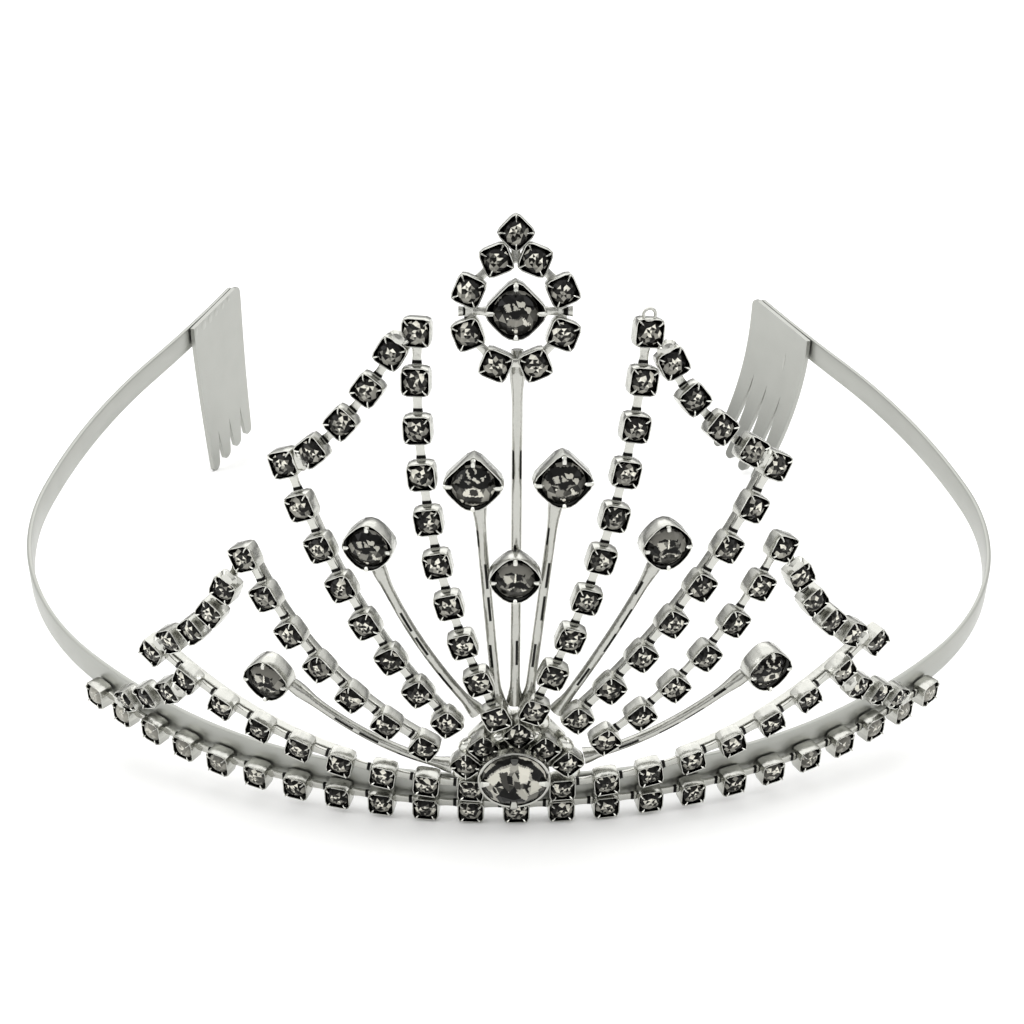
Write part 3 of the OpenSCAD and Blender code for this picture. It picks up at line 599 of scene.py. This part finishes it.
def put(name, part, finish, node_name, smooth=True):
    """A shape as an object that rides on the body and stands for its CAD node."""
    points, loops, counts, tones = part
    mesh = bpy.data.meshes.new(name)
    mesh.vertices.add(len(points))
    mesh.vertices.foreach_set("co", at_rest(points).astype(np.float32).ravel())
    mesh.loops.add(len(loops))
    mesh.loops.foreach_set("vertex_index", loops.astype(np.int32))
    mesh.polygons.add(len(counts))
    mesh.polygons.foreach_set("loop_start", starts(counts).astype(np.int32))
    mesh.update(calc_edges=True)
    rgba = np.ones((len(loops), 4), np.float32)
    rgba[:, :3] = np.repeat(tones, counts)[:, None]
    layer = mesh.color_attributes.new("tone", "FLOAT_COLOR", "CORNER")
    layer.data.foreach_set("color", rgba.ravel())
    work = bmesh.new()
    work.from_mesh(mesh)
    bmesh.ops.recalc_face_normals(work, faces=work.faces)
    work.to_mesh(mesh)
    work.free()
    mesh.polygons.foreach_set("use_smooth", [smooth] * len(mesh.polygons))
    if smooth:
        mesh.set_sharp_from_angle(angle=math.radians(34))
    mesh.materials.append(finish)
    piece = add(name, mesh)
    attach(piece, "root")
    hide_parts(node_name)


def put_metal(name, node_name, *parts):
    """Cups, links and wires of one chain or setting."""
    put(name, join(*parts), silver_plate(), node_name)


def put_gems(name, node_name, *parts):
    """Cut stones, each facet flat."""
    put(name, join(*parts), foiled_glass(), node_name, smooth=False)


# Materials.
def node(tree, kind, settings=None, links=None):
    """Adds a node, sets its sockets and properties, and links its inputs."""
    n = tree.nodes.new(kind)
    for key, value in (settings or {}).items():
        if key in n.inputs:
            n.inputs[key].default_value = value
        else:
            setattr(n, key, value)
    for key, source in (links or {}).items():
        tree.links.new(source, n.inputs[key])
    return n


def material(name, surface):
    """The material of that name. On first use `surface` adds its shader."""
    if name not in bpy.data.materials:
        m = bpy.data.materials.new(name)
        m.use_nodes = True
        m.node_tree.nodes.clear()
        shader = surface(m.node_tree)
        node(m.node_tree, "ShaderNodeOutputMaterial", links={"Surface": shader.outputs["BSDF"]})
    return bpy.data.materials[name]


def toned(tree, code):
    """The colour times each face's tone, which holds its painted light and shade as well."""
    tone = node(tree, "ShaderNodeAttribute", {"attribute_name": "tone"})
    mix = node(tree, "ShaderNodeMix", {"data_type": "RGBA", "blend_type": "MULTIPLY",
                                       "Factor": 1.0})
    mix.inputs[6].default_value = linear(code)
    tree.links.new(tone.outputs["Color"], mix.inputs[7])
    return mix.outputs[2]


def noise(tree, scale, detail, place):
    """Height of a noise."""
    return node(tree, "ShaderNodeTexNoise", {"Scale": scale, "Detail": detail},
                {"Vector": place}).outputs["Fac"]


def plated(tree, code, cloud, rough, relief, strength, distance):
    """Plated metal, its roughness between two values by one noise and bumped by another."""
    gloss = node(tree, "ShaderNodeMapRange", {"To Min": rough[0], "To Max": rough[1]},
                 {"Value": cloud})
    bump = node(tree, "ShaderNodeBump", {"Strength": strength, "Distance": distance},
                {"Height": relief})
    return node(tree, "ShaderNodeBsdfPrincipled", {"Metallic": 1.0},
                {"Base Color": toned(tree, code), "Roughness": gloss.outputs["Result"],
                 "Normal": bump.outputs["Normal"]})


def silver_plate():
    """Bright silver plate over drawn brass: sharp reflections, a little irregular, over
    dents of the drawing die about 0.7 mm across."""
    def surface(t):
        dents = noise(t, 1400.0, 2.0, node(t, "ShaderNodeTexCoord").outputs["Object"])
        code = bpy.context.scene.tiara_colours.plate
        return plated(t, code, dents, (0.14, 0.32), dents, 0.35, 0.00012)
    return material("bright_silver_plate", surface)


def satin_plate():
    """Satin silver plate on rolled strip: soft broad reflections and faint rolling
    lines along the strip."""
    def surface(t):
        place = node(t, "ShaderNodeTexCoord").outputs["Object"]
        lines = node(t, "ShaderNodeMapping", links={"Vector": place})
        lines.inputs["Scale"].default_value = (60, 60, 3000)
        roll = noise(t, 1.0, 3.0, lines.outputs["Vector"])
        code = bpy.context.scene.tiara_colours.satin
        return plated(t, code, noise(t, 220.0, 3.0, place), (0.3, 0.46), roll, 0.12, 0.00004)
    return material("satin_silver_plate", surface)


def foiled_glass():
    """Cut glass with a foiled back: glossy flat facets, each with a painted reflection as its
    tone for the light that the foil throws back through it, on a smoky warm grey."""
    def surface(t):
        return node(t, "ShaderNodeBsdfPrincipled",
                    {"Metallic": 0.0, "Roughness": 0.04, "IOR": 1.56, "Specular IOR Level": 0.12},
                    {"Base Color": toned(t, "#F6F3E6")})
    return material("foiled_cut_glass", surface)


def studio_floor():
    """White paper sweep."""
    def surface(t):
        colour = linear(bpy.context.scene.tiara_colours.floor)
        return node(t, "ShaderNodeBsdfPrincipled", {"Roughness": 0.9, "Base Color": colour})
    return material("white_paper", surface)


# Pieces.
def painted_reflection_and_unevenness(part, places, turn, seed):
    """Tones of stamped cups: walls that face down are darker, a painted reflection of the table
    below as polished metal shows it, and every face of the walls differs a little at random."""
    rng = np.random.default_rng(seed)
    points, loops, counts, tones = part
    mid = np.add.reduceat(points[loops], starts(counts), axis=0) / counts[:, None]
    turn = np.radians(np.broadcast_to(turn, len(places[0])))[:, None]
    # painted reflection: walls that face down darkened by up to 0.4
    down = np.clip(-np.sin(np.arctan2(mid[:, 1], mid[:, 0])[None] + turn) * 1.3 - 0.2, 0, 1)
    each = 0.93 + 0.09 * rng.random(down.shape)
    return np.where((tones == 1)[None], (1 - 0.4 * down) * each, 1.0)


def small_cups(places, turn, seed):
    """Small square cups in those frames."""
    v = sizes()
    one = whole_cup(v["cup"], v["depth"], v["stone"], *SMALL_CUP)
    return stamp(one, places, painted_reflection_and_unevenness(one, places, turn, seed))


def small_gems(places, turn, seed, pale=0.0):
    """Small cut stones in those frames; pale mixes in painted light of the room behind."""
    v = sizes()
    one, kind, ang = stone_shape(v["stone"], v["stone"] * 0.16, v["depth"] * 0.55)
    tones = stone_tones(kind, ang, np.broadcast_to(turn, len(places[0])), seed)
    tones = tones + (0.5 - tones) * np.broadcast_to(pale, len(tones))[:, None]
    return stamp(one, places, tones)


def crest_line(row, u, n):
    """Frames along a curve on the crest at the parts u of its length, x along it."""
    p, length = along(row, u)
    return on_crest(p[:, 0], p[:, 1], n, heading(row, u)), length


def link_row(row):
    """Links between a chain's cups."""
    v = sizes()
    u = (np.arange(row[6] - 1) + 0.5) / (row[6] - 1)
    places, length = crest_line(row, u, LINK_UP - v["depth"])
    return stamp(link_shape(length / (row[6] - 1) - v["cup"] + LINK_IN), places)


def ribbon(row):
    """A strip on edge behind a chain, from one cup to another."""
    u = np.linspace(row[7], row[8], 26) / (row[6] - 1)
    return tube(crest_line(row, u, -sizes()["depth"] - 0.55)[0], rounded(0.9, 1.2, 0.16))


def scallop_ends(row):
    """At each end of a scallop a bead of solder towards the rib tip beside it, and a
    stub of link of the length in its row."""
    v = sizes()
    bead = revolved(BEAD, 14)
    bead[0][:, 1] *= 1.5
    p, _ = along(row, [0.0, 1.0])
    ways = heading(row, np.array([0.0, 1.0])) + (180.0, 0.0)
    aim, away = np.radians(ways), v["cup"] / 2 + BEAD_OFF
    parts = [stamp(bead, on_crest(p[:, 0] + away * np.cos(aim), p[:, 1] + away * np.sin(aim),
                                  BEAD_N, ways))]
    for stub, (s, h), way in zip(row[7:], p, ways):
        if stub:
            one = link_shape(stub + LINK_IN)
            one[0][:, 0] += v["cup"] / 2 + stub / 2
            parts.append(stamp(one, on_crest(s, h, LINK_UP - v["depth"], way)))
    return parts


class TIARA_OT_headband(bpy.types.Operator):
    """Flat satin strip round the head, open at the back"""
    bl_idname = "tiara.headband"
    bl_label = "Headband"

    def execute(self, context):
        s = np.linspace(STRIP_SHORT - HALF_LEFT, HALF_RIGHT - STRIP_SHORT, 301)
        end = np.linspace(0, STRIP_R, 7)
        s = np.unique(np.concatenate([s, s[0] + end, s[-1] - end]))
        back = front_line(HALF_RIGHT - COMB_W / 2)[0, 1]
        high = LIFT + WIDE_FRONT - (WIDE_FRONT - WIDE_REAR) * front_line(s)[:, 1] / back
        high -= corner_cut(np.minimum(s - s[0], s[-1] - s), STRIP_R)
        places = on_band(s, 0.0, -sizes()["depth"] - GAP - SHEET / 2)
        outline = np.stack([rounded(t - LIFT, SHEET - 2 * SKIN, 0.3, (t + LIFT) / 2) for t in high])
        put("headband_strip", tube(places, outline), satin_plate(), "headband")
        return {"FINISHED"}


class TIARA_OT_combs(bpy.types.Operator):
    """Two bowed combs with round-tipped tapering teeth, welded inside the strip's ends"""
    bl_idname = "tiara.combs"
    bl_label = "Combs"

    def execute(self, context):
        for name, row in COMBS.items():
            put(name + "_blade", comb_blade(*row), satin_plate(), name)
        return {"FINISHED"}


def comb_sheet(side, half, bow, x, z, out):
    """Points at x along the comb, z up and `out` in front of its outer face, whose
    section is an arc of radius bow that touches the upright at the strip's middle."""
    origin, axes = on_band(side * (half - COMB_W / 2), 0.0)
    sheet = sizes()["depth"] + 2 * GAP + SHEET
    inward = sheet + bow - np.sqrt((bow + out) ** 2 - (z - LIFT - WIDE_REAR / 2) ** 2)
    return origin[0] + np.einsum("...c,cj->...j", np.stack([side * x, z, -inward], -1), axes[0])


def comb_blade(side, half, bow, drop, slit, welds):
    """A comb: each tooth is a strip between two edges that vary with the way down and
    touch above the slits. Its weld dents come after the teeth."""
    w, wt, top, low = COMB_W / 2, COMB_TIP_W / 2, LIFT + WIDE_REAR, LIFT - drop
    v = np.unique(np.concatenate([np.linspace(0, 0.05, 6), np.linspace(0, 0.96, 26),
                                  np.linspace(0.96, 1, 8)]))
    u = np.linspace(0, 1, 9)
    z = top + (low - top) * v
    edge = np.where(z > LIFT, w, wt + (w - wt) * np.clip((z - low) / (LIFT - low), 0, 1))
    cut = SLIT_W / 2 * np.clip((low + slit - z) / slit, 0, 1)
    tip, corner = corner_cut(z - low, TIP_R, 0.004), corner_cut(top - z, CORNER_R)
    tooth = (COMB_TIP_W + SLIT_W) / TEETH
    parts = []
    for i in range(TEETH):
        left = -edge if i == 0 else (i - TEETH / 2) * tooth + cut
        right = edge - corner if i == TEETH - 1 else (i + 1 - TEETH / 2) * tooth - cut
        left, right = left + tip, right - tip
        x = left[:, None] + (right - left)[:, None] * u
        zz = np.broadcast_to(z[:, None], x.shape)
        parts.append(loft(np.concatenate(
            [comb_sheet(side, half, bow, x, zz, -SKIN),
             comb_sheet(side, half, bow, x, zz, SKIN - SHEET)[:, ::-1]], 1)))
    for x, z, wide, high in welds:
        a = angles(14)
        g = np.array([1, 1, 0.75, 0.4])[:, None]
        rise = np.array([-0.1, 0, 0.05, 0.07])[:, None]
        # the weld dents a little lighter than the sheet: a painted highlight on them
        parts.append(loft(comb_sheet(side, half, bow, x + wide * g * np.cos(a),
                                     z + high * g * np.sin(a), -SHEET - rise), 1.08))
    return join(*parts)


class TIARA_OT_chains(bpy.types.Operator):
    """Cup chain along the band, the ribs and the scallops"""
    bl_idname = "tiara.chains"
    bl_label = "Chains"

    def execute(self, context):
        v = sizes()
        i = np.arange(-11, 12)
        places = on_band(i * v["pitch"], 0.0)
        middle = on_band((i[:-1] + 0.5) * v["pitch"], 0.3, LINK_UP - v["depth"])
        put_metal("base_chain_cups", "base_chain", small_cups(places, 0.0, 7),
                  stamp(link_shape(v["pitch"] - v["cup"] + LINK_IN), middle))
        # towards the ends of the row the stones turn sideways, and painted light of the room behind
        # makes them paler
        pale = np.where(i < 0, 0.7, 0.5) * np.clip((np.abs(i) - 5) / 5, 0, 1)
        put_gems("base_chain_gems", "base_stones", small_gems(places, 0.0, 11, pale))
        for seed, (name, row) in enumerate({**RIBS, **SCALLOPS}.items()):
            u = np.linspace(0, 1, row[6])
            places, turn = crest_line(row, u, 0)[0], heading(row, u)
            parts = [small_cups(places, turn, 20 + seed), link_row(row)]
            if name in RIBS and row[7] >= 0:
                parts.append(ribbon(row))
            if name == LOOP_RIB:
                s, h, n = LOOP_AT
                parts.append(stamp(revolved(circle(LOOP[0], 6, LOOP[1]), 18),
                                   on_crest(row[0] + s, row[1] + h, n)))
            if name in SCALLOPS:
                parts += scallop_ends(row)
            put_metal(name + "_cups", name, *parts)
            put_gems(name + "_gems", name + "_stones", small_gems(places, turn, 60 + seed))
        return {"FINISHED"}


def stem_cup(places, is_round, seed):
    """A big cup, turned on its corner."""
    one = whole_cup(*(ROUND_CUP if is_round else SQUARE_CUP))
    return stamp(one, places, painted_reflection_and_unevenness(one, places, 45.0, seed))


def stem_stone(places, is_round, seed, drawing):
    """A big cut stone."""
    d = (ROUND_CUP if is_round else SQUARE_CUP)[2]
    one, kind, _ = stone_shape(d, d * 0.16, 1.5)
    one, kind, facet, mid = divided(one, kind)
    return stamp(one, places, drawn_tones(kind, facet, mid, d / 2, 45.0, seed, drawing)[None])


def stem_wire(places, s, length, dark_reflections):
    """A wire of which s is the way from its tip. Solder swells it by half at the tip and
    by three quarters at the root, as bell curves. It is painted dark in bands along it,
    painted reflections of the dark side of the room: first ring, last ring and side of each."""
    swell = 1 + 0.5 * np.exp(-((s - 2.5) / 2) ** 2) + 0.75 * np.exp(-((length - s) / 1.6) ** 2)
    wire = tube(places, circle(sizes()["wire"] / 2) * swell[:, None, None], 0.86)
    for first, last, side in dark_reflections:
        # painted reflection: a dark band of faces along the wire
        wire[3][np.arange(first, last) * WIRE_POINTS + side] = 0.03
    return wire


class TIARA_OT_stems(bpy.types.Operator):
    """Wires with one big stone each"""
    bl_idname = "tiara.stems"
    bl_label = "Stems"

    def execute(self, context):
        u = np.linspace(0, 1, 28)
        for seed, (name, row) in enumerate(STEMS.items()):
            places, length = crest_line(row, u, WIRE_N)
            spot = on_crest(row[6], row[7], 0, 45)
            put_metal(name + "_wire", name, stem_wire(places, u * length, length, DARK_REFLECTIONS),
                      stem_cup(spot, row[8], 90 + seed))
            put_gems(name + "_gem", name + "_stone",
                     stem_stone(spot, row[8], 100 + seed, DRAWINGS[seed]))
        # the cup in the middle rides on the wire's front and on a post through it
        h = np.linspace(RING_H - 4.8, MIDDLE_ROOT, 40)
        wire = stem_wire(on_crest(np.full(len(h), MIDDLE_S), h, WIRE_N, -90), h[0] - h,
                         h[0] - h[-1], MIDDLE_DARK_REFLECTIONS)
        origin, axes = on_crest([MIDDLE_S] * 2, [MIDDLE_CUP[1]] * 2, [WIRE_N, -1.5])
        post = tube((origin, axes[:, [2, 0, 1]]), circle(1.0))
        lift = ROUND_CUP[1] + WIRE_N + sizes()["wire"] / 2 + 0.15
        spot = on_crest(*MIDDLE_CUP, lift, 45)
        put_metal("stem_centre_wire", "stem_centre", wire, post, stem_cup(spot, 1, 98))
        put_gems("stem_centre_gem", "stem_centre_stone", stem_stone(spot, 1, 108, MOUTH))
        return {"FINISHED"}


class TIARA_OT_crest(bpy.types.Operator):
    """Ring of cups with the top cup and the setting inside it"""
    bl_idname = "tiara.crest"
    bl_label = "Crest ring"

    def execute(self, context):
        level = LINK_UP - sizes()["depth"]
        on_ring = lambda r, a, n, turn: on_crest(RING_S + r * np.cos(np.radians(a)),
                                                 RING_H + r * np.sin(np.radians(a)), n, turn)
        a = (np.arange(RING_CUPS) + 0.5) * 360 / RING_CUPS
        b = (np.arange(RING_CUPS) + 1) * 360 / RING_CUPS
        half = math.pi / RING_CUPS
        ring = on_ring(RING_R, a, 0, a)
        top = on_crest(RING_S, RING_H + TOP_CUP, 0, 45)
        middle = on_crest(RING_S, RING_H, 0, 45)
        links = stamp(link_shape(2 * RING_R * math.sin(half) - 1.8),
                      on_ring(RING_R * math.cos(half), b, level, b + 90))
        arm = link_shape(RING_R - ARM_IN, 1.2, 0.7)
        arm[0][:, 0] += ARM_IN + (RING_R - ARM_IN) / 2
        arms = stamp(arm, on_crest([RING_S] * 2, [RING_H] * 2, level - 0.2, np.array([0, 180.0])))
        neck = stamp(link_shape(2.2), on_crest(RING_S, RING_H + RING_R + 0.3, level, 90))
        put_metal("crest_ring_cups", "crest_ring", small_cups(ring, a, 111),
                  small_cups(top, 45.0, 112), links, arms, neck, stem_cup(middle, 0, 113))
        put_gems("crest_ring_gems", "crest_stones", small_gems(ring, a, 114),
                 small_gems(top, 45.0, 115))
        put_gems("crest_centre_gem", "crest_centre_stone", stem_stone(middle, 0, 116, STAR))
        return {"FINISHED"}


class TIARA_OT_centre(bpy.types.Operator):
    """Round setting of the centre stone and five cups above it on one plate"""
    bl_idname = "tiara.centre"
    bl_label = "Centre"

    def execute(self, context):
        r, out = sizes()["centre"] / 2, CENTRE_OUT
        c = np.array(CLUSTER)
        cups = on_crest(c[:, 0], c[:, 1], -0.1, 45)
        # from the foot up the outside, over the rim and down inside
        profile = [(0.6, -2.6), (r * 0.82, -2.6), (r * 0.84, out - 1.3), (r + 0.38, out - 0.95),
                   (r + 0.45, out - 0.8), (r + 0.42, out + 0.1), (r + 0.28, out + 0.2),
                   (r + 0.1, out + 0.15), (r + 0.06, out - 0.1), (0.6, out - 2.7)]
        parts = [stamp(revolved(profile), on_crest(CENTRE_S, CENTRE_H))]
        for turn, tone in CENTRE_CLAWS:
            claw = claw_shape(2 * r + 0.5, 2 * r - 0.6, 2.0, 1.0, 0.5, 0, tone, 0.9)
            claw[0][:, 2] += out - 0.1
            parts.append(stamp(claw, on_crest(CENTRE_S, CENTRE_H, 0, turn)))
        plate, (origin, axes) = np.array(PLATE), on_crest(0, PLATE_H)
        mid = plate.mean(0)
        rings = []
        for grow, n in PLATE_RINGS:
            q = mid + (plate - mid) * grow - (0, PLATE_H)
            rings.append(origin + np.column_stack([q, np.full(len(q), n)]) @ axes[0])
        # lumps of solder between the cups, ellipsoids 2.6 mm by 1.8 mm
        q = np.linspace(0.05, math.pi - 0.05, 7)
        lump = revolved(np.stack([np.sin(q), 0.8 * np.cos(q)], 1)[::-1], 10, 1.25)
        lump = (lump[0] * np.array([1.3, 0.9, 1.0]), *lump[1:])
        s, h, turn = np.array(SOLDER).T
        put_metal("centre_setting", "centre_mount", *parts, small_cups(cups, 45.0, 121),
                  loft(rings), stamp(lump, on_crest(s, h, -1.5, turn)))
        put_gems("cluster_gems", "cluster_stones", small_gems(cups, 45.0, 122))
        one, kind, _ = stone_shape(2 * r * 0.99, 1.05, 3.6)
        one[0][:, 2] += 1.15
        one, kind, facet, mid = divided(one, kind, 3)
        tones = drawn_tones(kind, facet, mid, r, 0.0, 131, CENTRE, 1.8)
        put_gems("centre_gem", "centre_stone",
                 stamp(one, on_crest(CENTRE_S, CENTRE_H, out), tones[None]))
        return {"FINISHED"}


class TIARA_OT_stage(bpy.types.Operator):
    """White paper, soft studio light and the camera"""
    bl_idname = "tiara.stage"
    bl_label = "Stage"

    def execute(self, context):
        scene = context.scene
        floor = bpy.data.meshes.new("paper")
        floor.from_pydata([(-3, -3, 0), (3, -3, 0), (3, 3, 0), (-3, 3, 0)], [], [(0, 1, 2, 3)])
        floor.materials.append(studio_floor())
        add("paper", floor)
        world = bpy.data.worlds.new("studio")
        scene.world = world
        world.use_nodes = True
        t = world.node_tree
        way = node(t, "ShaderNodeTexCoord")
        parts = node(t, "ShaderNodeSeparateXYZ", links={"Vector": way.outputs["Generated"]})
        ramp = node(t, "ShaderNodeValToRGB", links={"Fac": parts.outputs["Z"]})
        stops = ramp.color_ramp.elements
        for i, (spot, level) in enumerate(SKY):
            stop = stops.new(spot) if 0 < i < len(SKY) - 1 else stops[-1 if i else 0]
            stop.position, stop.color = spot, (level, level, level * 0.99, 1)
        sky = t.nodes["Background"]
        t.links.new(ramp.outputs["Color"], sky.inputs["Color"])
        sky.inputs["Strength"].default_value = 1.15
        for name, place, size, power in LIGHTS:
            light = bpy.data.lights.new(name, "AREA")
            light.size, light.energy = size, power
            lamp = add(name, light)
            lamp.location = place
            # the far one hangs level; the others face the band's front
            aim = (0, 0, -1) if name == "far" else np.array((0, -0.02, 0.02)) - place
            lamp.rotation_euler = look(aim)
        camera = bpy.data.cameras.new("camera")
        camera.lens, camera.sensor_width = FOCAL, 36.0
        camera.clip_start = 0.01
        eye = add("camera", camera)
        back, up = -np.array(AHEAD), np.array(UPWARD)
        m = np.eye(4)
        m[:3, 0], m[:3, 1], m[:3, 2] = np.cross(up, back), up, back
        m[:3, 3] = np.array(EYE) * MM
        eye.matrix_world = [list(map(float, r)) for r in m.T]
        scene.camera = eye
        scene.view_settings.view_transform = "Standard"
        return {"FINISHED"}


def look(aim):
    """Turns that point -z along aim."""
    x, y, z = np.array(aim) / np.linalg.norm(aim)
    return (math.acos(-z), 0.0, math.atan2(x, -y) + math.pi)


class TIARA_PT_panel(bpy.types.Panel):
    """Sizes, colours and the steps that build the tiara"""
    bl_label = "Rhinestone Tiara"
    bl_idname = "TIARA_PT_panel"
    bl_space_type = "VIEW_3D"
    bl_region_type = "UI"
    bl_category = "Tiara"

    def draw(self, context):
        for group in (context.scene.tiara_sizes, context.scene.tiara_colours):
            for key in group.__annotations__:
                self.layout.prop(group, key)
        for step in STEPS:
            self.layout.operator(step.bl_idname)


STEPS = (TIARA_OT_stage, TIARA_OT_headband, TIARA_OT_combs, TIARA_OT_chains, TIARA_OT_stems,
         TIARA_OT_crest, TIARA_OT_centre)
CLASSES = (TiaraSizes, TiaraColours, *STEPS, TIARA_PT_panel)


def register():
    for c in CLASSES:
        bpy.utils.register_class(c)
    bpy.types.Scene.tiara_sizes = bpy.props.PointerProperty(type=TiaraSizes)
    bpy.types.Scene.tiara_colours = bpy.props.PointerProperty(type=TiaraColours)


def unregister():
    del bpy.types.Scene.tiara_sizes, bpy.types.Scene.tiara_colours
    for c in reversed(CLASSES):
        bpy.utils.unregister_class(c)


def main():
    register()
    for step in STEPS:
        group, name = step.bl_idname.split(".")
        if getattr(getattr(bpy.ops, group), name)() != {"FINISHED"}:
            raise RuntimeError(step.bl_idname + " did not finish")


if __name__ == "__main__":
    main()
